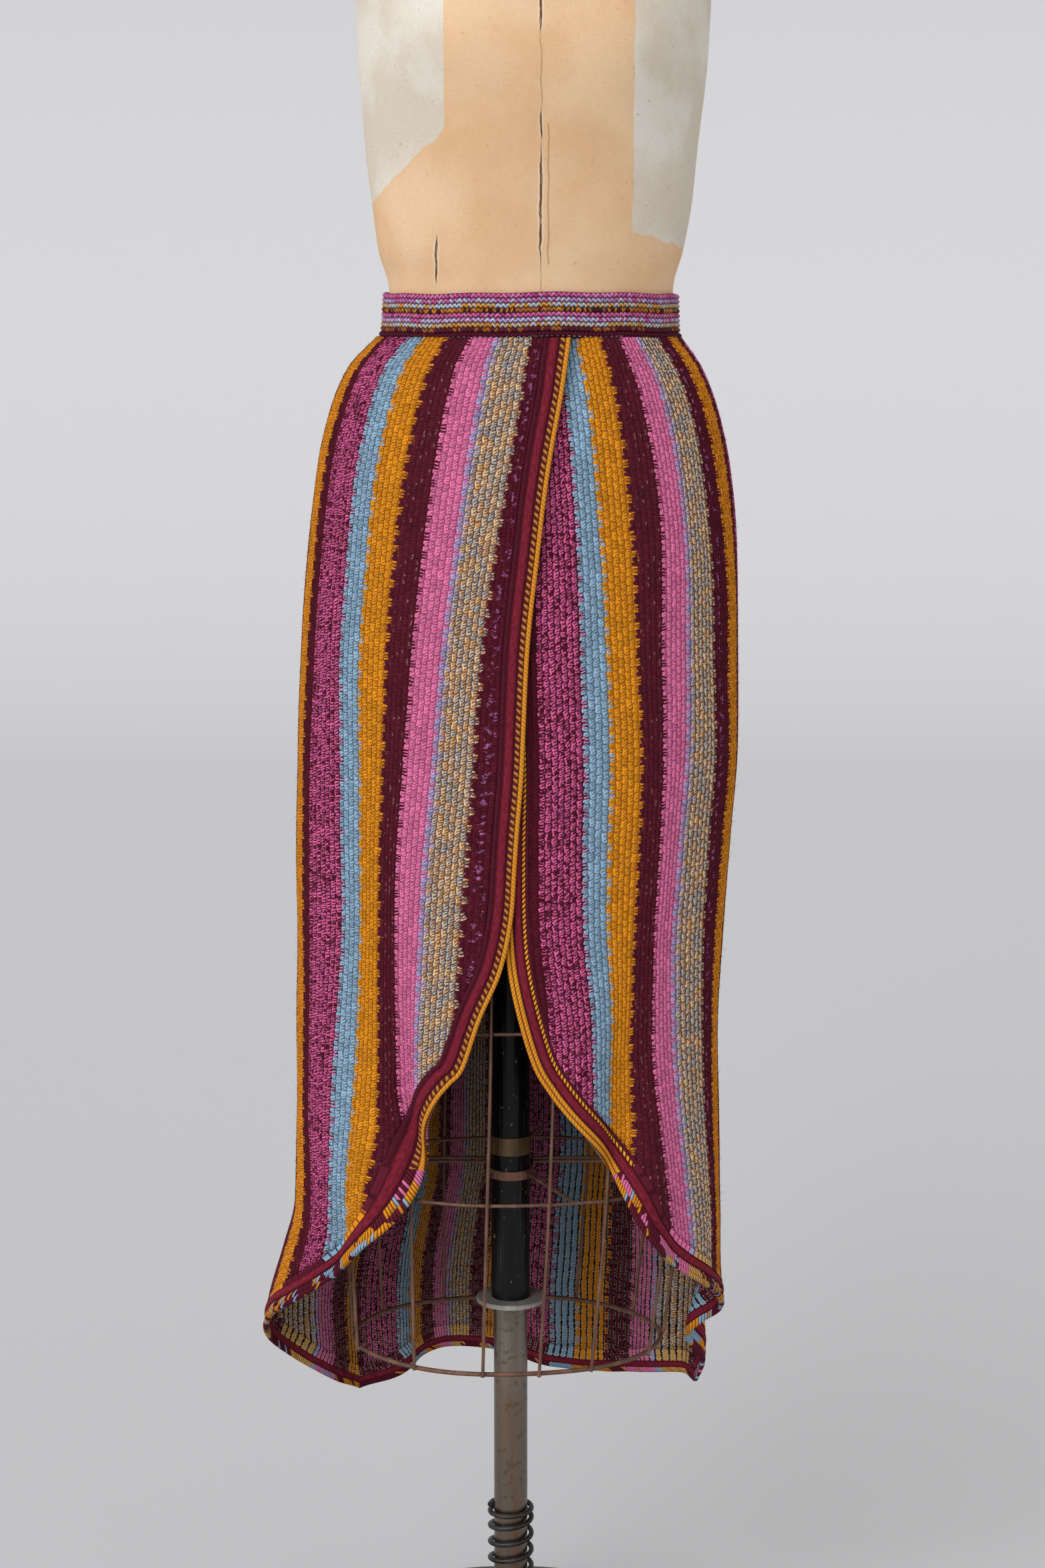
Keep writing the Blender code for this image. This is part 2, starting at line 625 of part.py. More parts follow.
def spring(metal):
    """The coil spring that stands on the hub, round the pole. Its last turn at the top is closed up."""
    per_turn = 9
    points = []
    height = HUB_TOP + SPRING_WIRE + SEAM
    for i in range(int(SPRING_TURNS * per_turn) + 1):
        turn = 2 * math.pi * i / per_turn
        points.append((SPRING_RADIUS * math.cos(turn), SPRING_RADIUS * math.sin(turn), height))
        from_top = SPRING_TURNS - i / per_turn
        pitch = SPRING_PITCH if 1.2 < from_top and i > per_turn / 2 else 0.35 * SPRING_PITCH
        height += pitch / per_turn
    wire("spring", points, SPRING_WIRE, metal)


def stand(painted, steel, black, brass):
    """The base, the pole, its spring, the collar that carries the form, and the tube that turns on it."""
    bore = (POLE_RADIUS + SEAM) / math.cos(math.pi / 32)
    floor = 0.0100
    turned("base", [
        (0.0, floor), (bore, floor), (bore, HUB_TOP), (0.0250, HUB_TOP), (0.0300, 0.0660), (0.0330, 0.0500),
        (0.0480, 0.0380), (0.1000, 0.0310), (0.2080, 0.0210), (0.2180, 0.0170), (BASE_RADIUS, 0.0090),
        (BASE_RADIUS, 0.0), (0.0, 0.0)], painted, steps=36)
    turned("pole", [(0.0, POLE_TOP), (POLE_RADIUS - 0.001, POLE_TOP), (POLE_RADIUS, POLE_TOP - 0.001),
                    (POLE_RADIUS, floor + SEAM), (0.0, floor + SEAM)], steel)
    spring(black)
    low = COLLAR_TOP - DISC_THICKNESS
    turned("collar", [
        (DISC_RADIUS - 0.0006, COLLAR_TOP), (DISC_RADIUS, COLLAR_TOP - 0.0006), (DISC_RADIUS, low),
        (bore, low), (bore, COLLAR_TOP), (DISC_RADIUS - 0.0006, COLLAR_TOP)], steel)
    turned("inner_tube", ring_profile(TUBE_BORE, TUBE_RADIUS, COLLAR_TOP + SEAM, TUBE_TOP), black)
    grip = (TUBE_RADIUS + SEAM) / math.cos(math.pi / 32)
    turned("tube_ferrule", ring_profile(grip, grip + 0.0008, 0.4990, 0.5150), brass)


def body_fittings(wood, metal):
    """The board under the body, the neck cap and the two arm plates."""
    hole = (TUBE_RADIUS + SEAM) / math.cos(math.pi / 32)
    rings = []
    for height in (BOARD_BOTTOM, BOARD_BOTTOM + BOARD_THICKNESS):
        rings.append([oval(TORSO_SECTIONS, 360.0 * i / 36, 0.8093, -0.0040) + Vector((0, 0, height - 0.8093))
                      for i in range(36)])
    board = loft("bottom_board", rings, wood)
    bpy.ops.mesh.primitive_cylinder_add(vertices=32, radius=hole, depth=0.1, location=(0, 0, BOARD_BOTTOM))
    drill = bpy.context.active_object
    drill.name = "tube_hole"
    move_to(drill, CUTTERS)
    cut(board, drill)
    base = NECK_TOP + SEAM
    centre = (smooth(TORSO_SECTIONS, NECK_TOP, 1), 0.0010)
    turned("neck_cap", [(0.0, base + 0.0400), (0.0070, base + 0.0390), (0.0110, base + 0.0330),
                        (0.0105, base + 0.0270), (0.0060, base + 0.0220), (0.0070, base + 0.0170),
                        (0.0300, base + 0.0130), (0.0460, base + 0.0080), (0.0490, base + 0.0040),
                        (0.0490, base), (0.0, base)], wood, place=centre)
    arm_plate("arm_plate_right", -1, metal)
    arm_plate("arm_plate_left", 1, metal)


def material(name, colour, roughness, metallic=0.0):
    """A plain finish."""
    made = bpy.data.materials.new(name)
    made.use_nodes = True
    shader = made.node_tree.nodes["Principled BSDF"]
    shader.inputs["Base Color"].default_value = (*colour, 1.0)
    shader.inputs["Roughness"].default_value = roughness
    shader.inputs["Metallic"].default_value = metallic
    return made


def clear_scene():
    """Removes whatever the file opened with."""
    for thing in list(bpy.data.objects):
        bpy.data.objects.remove(thing, do_unlink=True)


def new_collection(name):
    """A collection in the scene."""
    made = bpy.data.collections.new(name)
    bpy.context.scene.collection.children.link(made)
    return made


clear_scene()
PART = new_collection("knit_skirt_on_dress_form")
CUTTERS = new_collection("cutters")

KNIT = material("striped_knit", (0.40, 0.14, 0.20), 0.92)
BINDING = material("bound_edge", (0.36, 0.06, 0.08), 0.88)
RIBBING = material("waistband", (0.55, 0.20, 0.42), 0.90)
CANVAS = material("canvas", (0.76, 0.57, 0.36), 0.88)
PAINTED_IRON = material("painted_iron", (0.03, 0.03, 0.03), 0.55, 0.3)
STEEL = material("worn_steel", (0.42, 0.41, 0.39), 0.38, 1.0)
BLACK_TUBE = material("black_tube", (0.02, 0.02, 0.022), 0.45, 0.4)
BRASS = material("brass", (0.45, 0.32, 0.14), 0.40, 1.0)
RUSTY_WIRE = material("rusty_wire", (0.22, 0.12, 0.08), 0.60, 0.6)
WOOD = material("turned_wood", (0.30, 0.17, 0.09), 0.55)

over_edge = front_edge(OVER_EDGE)
under_edge = front_edge(UNDER_EDGE)
back_hem = hem_edge(BACK_HEM)

front_panel("front_right_panel", over_edge, 1.0, RIGHT_SEAM, False, KNIT)
front_panel("front_left_panel", under_edge, -1.0, LEFT_SEAM, True, KNIT)
back_panel("back_panel", back_hem, KNIT)
bound_edge("front_right_edge", over_edge, 1.0, ("level", "upright"), False, BINDING)
bound_edge("front_left_edge", under_edge, -1.0, ("level", "upright"), True, BINDING)
bound_edge("back_hem_edge", back_hem, 1.0, ("upright", "upright"), False, BINDING)
waistband(RIBBING)
torso(CANVAS)
body_fittings(WOOD, CANVAS)
cage(RUSTY_WIRE)
stand(PAINTED_IRON, STEEL, BLACK_TUBE, BRASS)
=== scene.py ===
# %% [markdown]
# # A striped knit skirt on a dress form
# The object is a long wrap skirt. It is knitted in upright stripes, its two front panels lap at the
# middle and curve away to a hem that is longer behind, and a bound edge runs round them. A waistband of
# chain stitches holds it on a limbless dress form with a wire cage and a stand. The solids of all that
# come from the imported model. This script lays the finer form and the finishes over them. Sizes are in
# metres and angles in degrees: 0 is the middle of the front, 90 the right of the picture, 180 the back.

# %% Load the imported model
import math

import bmesh
import bpy
import numpy as np
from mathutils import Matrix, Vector


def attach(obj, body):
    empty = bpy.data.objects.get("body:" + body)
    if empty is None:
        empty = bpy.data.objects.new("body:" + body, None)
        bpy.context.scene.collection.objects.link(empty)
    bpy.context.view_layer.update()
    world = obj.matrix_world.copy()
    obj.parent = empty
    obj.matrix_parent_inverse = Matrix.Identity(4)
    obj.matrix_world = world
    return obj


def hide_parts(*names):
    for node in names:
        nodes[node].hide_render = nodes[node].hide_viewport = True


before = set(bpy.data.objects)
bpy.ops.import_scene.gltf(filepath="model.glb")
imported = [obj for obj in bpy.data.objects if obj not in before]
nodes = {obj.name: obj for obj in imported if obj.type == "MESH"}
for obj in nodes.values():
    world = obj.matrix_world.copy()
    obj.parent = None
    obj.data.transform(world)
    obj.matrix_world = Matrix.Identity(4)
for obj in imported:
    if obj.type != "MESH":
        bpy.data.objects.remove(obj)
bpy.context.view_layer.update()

# %% [markdown]
# ## The camera
# The picture looks at the skirt from 2.6 m away, from about the height of the waist, and tips down by
# nine degrees. A long lens keeps the upright lines straight, so the camera is set from that distance
# and that tilt.

# %% Camera
IMAGE_HEIGHT = 2353
EYE = (0.0106, -2.6, 1.24)
LOOK_DOWN = 9.0
FOCAL_PIXELS = 4545.0

bpy.ops.object.camera_add(location=EYE, rotation=(math.radians(90 - LOOK_DOWN), 0, 0))
camera = bpy.context.active_object
camera.data.sensor_width = 36.0
camera.data.lens = 36.0 * FOCAL_PIXELS / IMAGE_HEIGHT
bpy.context.scene.camera = camera
print("lens:", round(camera.data.lens, 1), "mm")

# %% [markdown]
# ## The cloth's shape
# The panels hang on one form: an oval that changes with height, and soft folds that start at the knee
# and deepen to the hem. The solids were built from these short tables, so the fine cloth is built from
# them as well and lies on the same form. Everything here works on whole arrays, because a fine panel
# has tens of thousands of points.

# %% Sizes of the garment
WALL = 0.003              # thickness of the knit
BAND = 0.022              # width of the bound edge
SEAM_ROOM = 0.7           # share of the way to a side seam that a bound edge's inner line may lean
LAP = 0.0054              # how far the under panel lies behind the over panel
WAIST_TOP = 1.249
WAIST_BOTTOM = 1.2133
WAIST_ROWS = 8
TURN_HEIGHT = 0.605       # where a front edge turns from upright to slanting
PANEL_ROWS = 14           # steps of a front edge above that turn
STEP_WIDE = 0.03          # spacing along an edge away from the folds
STEP_FINE = 0.0115        # and at a fold

# The oval the cloth's outer face follows: height, centre_x, half_width, front_depth, back_depth
SKIRT_SECTIONS = (
    (1.213, 0.016, 0.129, 0.095, 0.1),
    (1.188, 0.0132, 0.15, 0.1, 0.11),
    (1.154, 0.0126, 0.1644, 0.106, 0.121),
    (1.103, 0.0115, 0.1763, 0.1115, 0.131),
    (1.035, 0.0106, 0.1842, 0.116, 0.141),
    (0.954, 0.008, 0.1883, 0.12, 0.145),
    (0.861, 0.0066, 0.1908, 0.122, 0.144),
    (0.791, 0.0031, 0.1892, 0.123, 0.142),
    (0.696, -0.0003, 0.186, 0.123, 0.14),
    (0.6, -0.0021, 0.1849, 0.123, 0.141),
    (0.503, -0.0022, 0.1872, 0.123, 0.144),
    (0.454, -0.0027, 0.1885, 0.123, 0.146),
    (0.405, -0.0087, 0.195, 0.1235, 0.148),
    (0.356, -0.0138, 0.203, 0.124, 0.15),
    (0.32, -0.016, 0.204, 0.124, 0.152),
    (0.23, -0.015, 0.2, 0.124, 0.154),
)

# The waistband's sections: height, centre_x, half_width, front_depth, back_depth
WAIST_SECTIONS = (
    (1.2123, 0.0172, 0.1238, 0.0888, 0.0932),
    (1.25, 0.0178, 0.124, 0.089, 0.092),
)

# Soft folds: angle, width, height where it starts, height where it is full, how far it stands out
FOLDS = (
    (-29.0, 3.6, 0.72, 0.56, -0.01),
    (-18.0, 5.5, 0.72, 0.58, 0.006),
    (-39.0, 6.0, 0.64, 0.48, 0.009),
    (-51.0, 4.0, 0.5, 0.41, -0.009),
    (-68.0, 9.0, 0.52, 0.38, 0.005),
    (-104.0, 11.0, 0.9, 0.42, 0.004),
    (-126.0, 8.0, 0.62, 0.3, -0.006),
    (-141.0, 5.0, 0.56, 0.26, 0.006),
    (-154.0, 6.0, 0.76, 0.3, -0.011),
    (-170.0, 8.0, 0.82, 0.32, 0.007),
    (167.0, 6.5, 0.76, 0.3, -0.009),
    (150.0, 8.0, 0.84, 0.34, 0.006),
    (133.0, 7.0, 0.7, 0.32, -0.007),
    (121.0, 5.0, 0.56, 0.28, 0.005),
    (99.0, 5.5, 0.44, 0.32, -0.026),
    (30.0, 4.2, 0.68, 0.54, -0.009),
    (20.0, 5.5, 0.7, 0.58, 0.005),
    (40.5, 6.0, 0.64, 0.48, 0.008),
    (62.0, 9.0, 0.56, 0.4, 0.004),
)

# Places where the cloth swings sideways: angle, width, height where it starts, height where it is full, swing
SWINGS = (
    (-28.0, 7.0, 0.59, 0.495, 6.4),
    (35.0, 7.0, 0.56, 0.485, -2.4),
)

# Cut edges of the panels: height, angle
OVER_EDGE = (
    (1.213, 15.5), (1.184, 12.8), (1.136, 8.9), (1.062, 5.3), (0.96, 2.6), (0.857, 1.6), (0.733, 0.6),
    (0.695, -1.2), (0.662, -5.6), (0.636, -7.9), (0.605, -11.2), (0.584, -16.6), (0.558, -22.0),
    (0.54, -25.4), (0.516, -28.4), (0.484, -31.4), (0.462, -34.4), (0.435, -41.2), (0.409, -49.4),
    (0.382, -60.5), (0.356, -77.0), (0.335, -91.0), (0.298, -109.0), (0.27, -121.5), (0.249, -132.0),
    (0.234, -141.0),
)
UNDER_EDGE = (
    (1.213, -9.0), (1.062, -6.5), (0.96, -5.0), (0.857, -3.6), (0.733, -2.0), (0.695, -1.0),
    (0.679, 0.5), (0.647, 2.5), (0.616, 5.2), (0.595, 8.4), (0.573, 12.9), (0.556, 17.2),
    (0.532, 24.0), (0.508, 30.5), (0.485, 34.6), (0.46, 38.0), (0.433, 44.5), (0.419, 49.8),
    (0.402, 59.0), (0.385, 70.0), (0.366, 83.0), (0.344, 93.0), (0.308, 102.0), (0.264, 113.0),
)
BACK_HEM = (
    (219.0, 0.234), (212.0, 0.24), (206.0, 0.249), (201.0, 0.26), (194.0, 0.264), (180.0, 0.262),
    (166.0, 0.251), (155.0, 0.245), (147.0, 0.247), (139.0, 0.254), (128.0, 0.262), (118.0, 0.265),
    (113.0, 0.264),
)

# %% A smooth curve through a table's rows
def smooth(rows, at, column=1):
    """The values of a table's column at places in its first column, on a curve that never overshoots."""
    table = np.array(sorted(rows), float)
    xs, ys = table[:, 0], table[:, column]
    slopes = np.diff(ys) / np.diff(xs)
    before, after = slopes[:-1], slopes[1:]
    same_way = before * after > 0
    between = np.where(same_way, 2 * before * after / np.where(same_way, before + after, 1.0), 0.0)
    tangent = np.concatenate(([slopes[0]], between, [slopes[-1]]))
    at = np.clip(at, xs[0], xs[-1])
    i = np.clip(np.searchsorted(xs, at, side="right") - 1, 0, len(xs) - 2)
    step = xs[i + 1] - xs[i]
    t = (at - xs[i]) / step
    return ((1 + 2 * t) * (1 - t) ** 2 * ys[i] + t * (1 - t) ** 2 * step * tangent[i]
            + t * t * (3 - 2 * t) * ys[i + 1] + t * t * (t - 1) * step * tangent[i + 1])


def ramp(height, starts, full):
    """0 above the height where a fold starts, 1 below the height where it is full."""
    t = np.clip((starts - height) / (starts - full), 0.0, 1.0)
    return t * t * (3 - 2 * t)


def turn_between(angle, centre):
    """The signed turn from one angle to another, between -180 and 180 degrees."""
    return (angle - centre + 180.0) % 360.0 - 180.0


# %% Points on an oval section
def unit(vectors):
    """The same directions at length one."""
    return vectors / np.linalg.norm(vectors, axis=-1, keepdims=True)


def section_sizes(sections, angle, height):
    """Half the width and the depth of an oval section, which is shallower in front than behind."""
    front = np.cos(np.radians(angle)) > 0
    depth = np.where(front, smooth(sections, height, 3), smooth(sections, height, 4))
    return smooth(sections, height, 2), depth


def oval(sections, angle, height, grow=0.0):
    """Points on an oval section, grown outwards by a distance."""
    angle, height, grow = np.broadcast_arrays(angle, height, grow)
    half, depth = section_sizes(sections, angle, height)
    turn = np.radians(angle)
    x = smooth(sections, height, 1) + (half + grow) * np.sin(turn)
    return np.stack((x, -(depth + grow) * np.cos(turn), height), -1)


def oval_out(sections, angle, height):
    """The level directions that point straight out of an oval section."""
    half, depth = section_sizes(sections, angle, height)
    turn = np.radians(angle)
    return unit(np.stack((np.sin(turn) / half, -np.cos(turn) / depth, 0 * turn), -1))


def metric(angle, height):
    """Metres along the cloth for each degree of angle."""
    half, depth = section_sizes(SKIRT_SECTIONS, angle, height)
    turn = np.radians(angle)
    return np.radians(np.hypot(half * np.cos(turn), depth * np.sin(turn)))


# %% The cloth's outer face
def bell(angle, centre, width):
    """1 at a centre, and falling away to both sides of it."""
    return np.exp(-(turn_between(angle, centre) / width) ** 2)


def cloth_place(angle, height):
    """Points on the outer face of the skirt, with its folds."""
    angle, height = np.broadcast_arrays(np.asarray(angle, float), np.asarray(height, float))
    swung = angle.copy()
    for centre, width, starts, full, swing in SWINGS:
        swung += swing * ramp(height, starts, full) * bell(angle, centre, width)
    out = np.zeros_like(swung)
    for centre, width, starts, full, depth in FOLDS:
        out += depth * ramp(height, starts, full) * bell(angle, centre, width)
    return oval(SKIRT_SECTIONS, swung, height) + oval_out(SKIRT_SECTIONS, swung, height) * out[..., None]


def cloth_normal(angle, height):
    """The directions straight out of the cloth's outer face."""
    across = cloth_place(angle + 0.4, height) - cloth_place(angle - 0.4, height)
    down = cloth_place(angle, height - 0.002) - cloth_place(angle, height + 0.002)
    return unit(np.cross(down, across))


def lap_in(angle, height):
    """How far the under panel goes in, where the over panel lies on it."""
    past_edge = angle - smooth(OVER_EDGE, height)
    sideways = 1.0 - np.clip((past_edge - 0.8) / 9.0, 0.0, 1.0)
    return LAP * sideways * sideways * (3 - 2 * sideways) * (1.0 - ramp(height, 0.69, 0.6))


def cloth_point(angle, height, out, under):
    """Points of the cloth, raised out of its face or sunk behind the over panel."""
    sunk = lap_in(angle, height) if under else 0.0
    return cloth_place(angle, height) + cloth_normal(angle, height) * np.asarray(out - sunk)[..., None]


print("front of the hip:", cloth_place(0.0, 0.95).round(4))

# %% [markdown]
# ## The lines of the bound edges
# Each front panel is cut down the middle and then away to its side seam, and the back hem joins the
# two. A bound edge 22 mm wide runs along each cut. Its free line and its inner line are worked out here
# as the solids have them, then drawn through with a smooth curve, so that fine stitches can follow the
# line without corners.

# %% Free line and inner line of a bound edge
def step_at(angle, height):
    """The spacing wanted at a place: fine where a narrow fold is deep, wide elsewhere."""
    near = 9.0
    for centre, width, starts, full, out in FOLDS:
        if ramp(height, starts, full) > 0.2:
            near = min(near, abs(turn_between(angle, centre)) / width + max(0.0, (width - 5.0) / 5.0))
    return STEP_FINE + (STEP_WIDE - STEP_FINE) * min(1.0, max(0.0, (near - 0.5) / 1.6))


def spread(places, count=None):
    """Places along a line, evenly spaced, or closer together at the folds when no count is given."""
    places = np.array(places, float)
    steps = np.diff(places, axis=0)
    middle = (places[1:] + places[:-1]) / 2
    lengths = np.hypot(steps[:, 0] * metric(middle[:, 0], middle[:, 1]), steps[:, 1])
    if count is None:
        lengths = lengths / np.array([step_at(*place) for place in middle])
    costs = np.concatenate(([0.0], np.cumsum(lengths)))
    wanted = np.linspace(0.0, costs[-1], (count or math.ceil(costs[-1])) + 1)
    return np.stack([np.interp(wanted, costs, places[:, k]) for k in (0, 1)], -1)


def front_edge(rows):
    """The points of a front panel's cut edge, from the waist to the side seam."""
    heights = np.linspace(rows[0][0], rows[-1][0], 501)
    line = np.stack((smooth(rows, heights), heights), -1)
    turn = np.array([[smooth(rows, TURN_HEIGHT), TURN_HEIGHT]])
    upper = np.concatenate((line[heights > TURN_HEIGHT], turn))
    lower = np.concatenate((turn, line[heights < TURN_HEIGHT]))
    return np.concatenate((spread(upper, PANEL_ROWS)[:-1], spread(lower)))


def offset_path(path, width, side, ends):
    """A path moved sideways on the cloth. An end is cut level, or upright where it meets a side seam."""
    moved = []
    for i, (angle, height) in enumerate(path):
        a0, h0 = path[max(i - 1, 0)]
        a1, h1 = path[min(i + 1, len(path) - 1)]
        scale = float(metric(angle, height))
        along = Vector(((a1 - a0) * scale, h1 - h0)).normalized()
        square = Vector((along.y, -along.x)) * side
        sideways = square.x
        for end, seam in zip(ends, (path[0], path[-1])):
            room = abs(seam[0] - angle) * scale * SEAM_ROOM / width
            if end == "upright" and sideways * (seam[0] - angle) >= 0 and abs(sideways) > room:
                sideways = math.copysign(room, sideways)
        if ends[0] == "level" and i == 0:
            across = Vector((1.0 / square.x, 0.0))
        elif sideways != square.x:
            across = Vector((sideways, (1.0 - sideways * square.x) / square.y))
        else:
            across = square
        moved.append((angle + across.x * width / scale, height + across.y * width))
    return np.array(moved)


# %% A smooth line through points, and evenly spaced stations along it
def drawn_through(points, pieces=12):
    """A smooth line through points, with several short pieces between each two."""
    before = np.concatenate((points[:1], points[:-1]))
    after = np.concatenate((points[1:], points[-1:]))
    tangents = (after - before) / 2
    t = np.linspace(0, 1, pieces, endpoint=False)[None, :, None]
    p0, p1 = points[:-1, None, :], points[1:, None, :]
    m0, m1 = tangents[:-1, None, :], tangents[1:, None, :]
    line = ((1 + 2 * t) * (1 - t) ** 2 * p0 + t * (1 - t) ** 2 * m0
            + t * t * (3 - 2 * t) * p1 + t * t * (t - 1) * m1)
    return np.concatenate((line.reshape(-1, points.shape[1]), points[-1:]))


def edge_lines(path, side, ends, spacing):
    """The free line and the inner line of a bound edge, in step, and the way along them in metres."""
    free = drawn_through(path)
    inner = drawn_through(offset_path(path, BAND, side, ends))
    middle = cloth_place(*((free + inner) / 2).T)
    way = np.concatenate(([0.0], np.cumsum(np.linalg.norm(np.diff(middle, axis=0), axis=1))))
    stations = np.linspace(0.0, way[-1], math.ceil(way[-1] / spacing) + 1)
    pick = [np.stack([np.interp(stations, way, line[:, k]) for k in (0, 1)], -1) for line in (free, inner)]
    return pick[0], pick[1], stations


BIND_SPACING = 0.0016
over_path = front_edge(OVER_EDGE)
under_path = front_edge(UNDER_EDGE)
back_angles = np.linspace(BACK_HEM[0][0], BACK_HEM[-1][0], 301)
back_path = spread(np.stack((back_angles, smooth(BACK_HEM, back_angles)), -1))
over_lines = edge_lines(over_path, 1.0, ("level", "upright"), BIND_SPACING)
under_lines = edge_lines(under_path, -1.0, ("level", "upright"), BIND_SPACING)
back_lines = edge_lines(back_path, 1.0, ("upright", "upright"), BIND_SPACING)
for title, lines in (("over", over_lines), ("under", under_lines), ("back", back_lines)):
    print(title, "edge:", round(lines[2][-1], 3), "m long,", len(lines[2]), "stations")

# %% [markdown]
# ## Where the stripes run
# The stripes are knitted side by side in one repeat of 47 columns of stitches. They aren't upright
# everywhere: they lean with the hip, and the panels are cut across them. So each panel has a table of
# the angles where a stripe's border passes at a few heights, and every column of stitches is placed
# between two borders.

# %% Tables of the stripes
ROW_PITCH = 0.0075        # height of one stitch
REPEAT = 47               # columns of stitches in one repeat of the stripes

# The column that starts each stripe, then the angles of those borders at some heights
OVER_BORDERS = (33, 26, 21, 16, 11, 7, 0, -3, -8, -14, -20, -34)
OVER_STRIPES = (
    (1.205, 0.2, -13.2, -22.8, -32.7, -43.2, -52.5, -66.3, -72.5, -84.0, -97.0, -108.5, -141.3),
    (0.955, -9.9, -20.4, -28.7, -36.8, -45.7, -53.5, -68.0, -74.4, -85.0, -99.0, -111.0, -141.3),
    (0.733, -13.2, -24.5, -31.7, -37.1, -43.3, -50.6, -68.3, -75.0, -86.0, -102.0, -115.0, -141.3),
    (0.558, -15.5, -26.4, -31.4, -36.9, -46.0, -55.8, -70.0, -76.0, -87.0, -105.0, -119.0, -141.3),
    (0.472, -16.0, -27.0, -31.8, -40.5, -48.7, -56.2, -65.0, -71.5, -85.5, -107.0, -121.0, -141.3),
    (0.3, -16.0, -27.0, -31.8, -40.5, -48.7, -53.5, -61.0, -68.5, -83.0, -111.0, -124.0, -141.3),
)
UNDER_BORDERS = (7, 11, 16, 21, 26, 33, 39, 44, 47, 54, 58, 65)
UNDER_STRIPES = (
    (1.205, 11.0, 17.5, 26.0, 34.7, 42.8, 56.2, 63.5, 74.0, 80.0, 96.0, 102.5, 113.3),
    (1.058, 13.5, 19.9, 28.6, 38.8, 46.9, 58.5, 66.7, 77.5, 83.0, 97.0, 103.0, 113.3),
    (0.955, 15.1, 22.3, 30.7, 39.0, 47.7, 60.7, 70.4, 81.0, 85.0, 97.0, 103.0, 113.3),
    (0.733, 18.5, 25.3, 33.6, 40.7, 47.3, 62.0, 71.4, 81.0, 85.0, 97.0, 103.0, 113.3),
    (0.617, 22.4, 28.6, 33.9, 41.3, 49.2, 65.0, 73.0, 82.0, 86.0, 97.0, 103.0, 113.3),
    (0.4, 23.0, 29.5, 36.0, 51.0, 58.0, 71.0, 77.0, 84.0, 88.0, 97.5, 103.0, 113.3),
)
# The back panel's borders run straight down: column, angle
BACK_STRIPES = (
    (-1.5, 219.3), (7.0, 208.0), (16.0, 201.0), (21.0, 197.0), (26.0, 193.0), (33.0, 186.5), (39.0, 182.5),
    (47.0, 175.0), (54.0, 165.0), (58.0, 158.3), (63.0, 150.0), (68.0, 141.0), (73.0, 132.6), (82.0, 112.7),
)

# %% The angle of a column at a height
def border_angle(borders, stripes, near_line, keeps_to, near_column, column, height):
    """The angle of columns of stitches at some heights. The nearest one keeps to the bound edge at first."""
    angles = [smooth(stripes, height, 1 + k) for k in range(len(borders))]
    beside = np.maximum(height, keeps_to)
    edge = np.interp(beside, near_line[::-1, 1], near_line[::-1, 0])
    first = angles[0] + edge - smooth(stripes, beside, 1)
    known = [(near_column, first)] + list(zip(borders, angles))
    placed = np.zeros(np.broadcast(column, height).shape)
    for (c0, a0), (c1, a1) in zip(known, known[1:]):
        share = (column - c0) / (c1 - c0)
        placed = np.where((share >= 0) & (share <= 1), a0 + (a1 - a0) * share, placed)
    return placed


def over_angle(column, height):
    return border_angle(OVER_BORDERS, OVER_STRIPES, over_lines[1], 0.72, 37.0, column, height)


def under_angle(column, height):
    return border_angle(UNDER_BORDERS, UNDER_STRIPES, under_lines[1], 0.7, -1.5, column, height)


def back_angle(column, height):
    return smooth(BACK_STRIPES, column) + 0 * height


def column_end(angle_at, inner_line, column, side):
    """The height where each column of stitches meets the inner line of the bound edge."""
    heights = np.linspace(WAIST_BOTTOM, 0.22, 1600)[None, :]
    angles = angle_at(column[:, None], heights)
    if side == 0:
        order = np.argsort(inner_line[:, 0])
        line = np.interp(angles, inner_line[order, 0], inner_line[order, 1])
        past = heights < line
    else:
        falling = np.minimum.accumulate(inner_line[:, 1])
        line = np.interp(heights, falling[::-1], inner_line[::-1, 0])
        past = ((angles - line) * side > 0.02) & (heights < 0.735)
    first = np.argmax(past, axis=1)
    return np.where(past.any(axis=1), heights[0, first], inner_line[-1, 1])


# %% [markdown]
# ## The panels
# A knitted panel is a sheet with a face and a reverse. It could be a flat sheet draped by simulation,
# but its drape is known from the picture, so it is laid out directly: one line of points for each
# quarter column of stitches, from the waist down to the bound edge. Each column stands up a little
# between two grooves, and every point carries its place in the knitting, column and stitch, which the
# finish reads.

# %% A piece from points and faces
def new_piece(name, points, faces, smooth=True, domain="POINT", **grids):
    """An object made from points and faces. Each named grid becomes an attribute that a finish reads."""
    mesh = bpy.data.meshes.new(name)
    mesh.from_pydata(points.reshape(-1, 3), [], faces)
    for title, grid in grids.items():
        mesh.attributes.new(title, "FLOAT_VECTOR", domain).data.foreach_set("vector", grid.ravel())
    if smooth:
        mesh.shade_smooth()
    made = bpy.data.objects.new(name, mesh)
    bpy.context.collection.objects.link(made)
    print(name, sum(len(face.vertices) - 2 for face in mesh.polygons), "triangles")
    return made


def faces_between(one, two):
    """The faces between rings of points and the next rings, closed round."""
    return np.stack((one, np.roll(one, -1, -1), np.roll(two, -1, -1), two), -1).reshape(-1, 4)


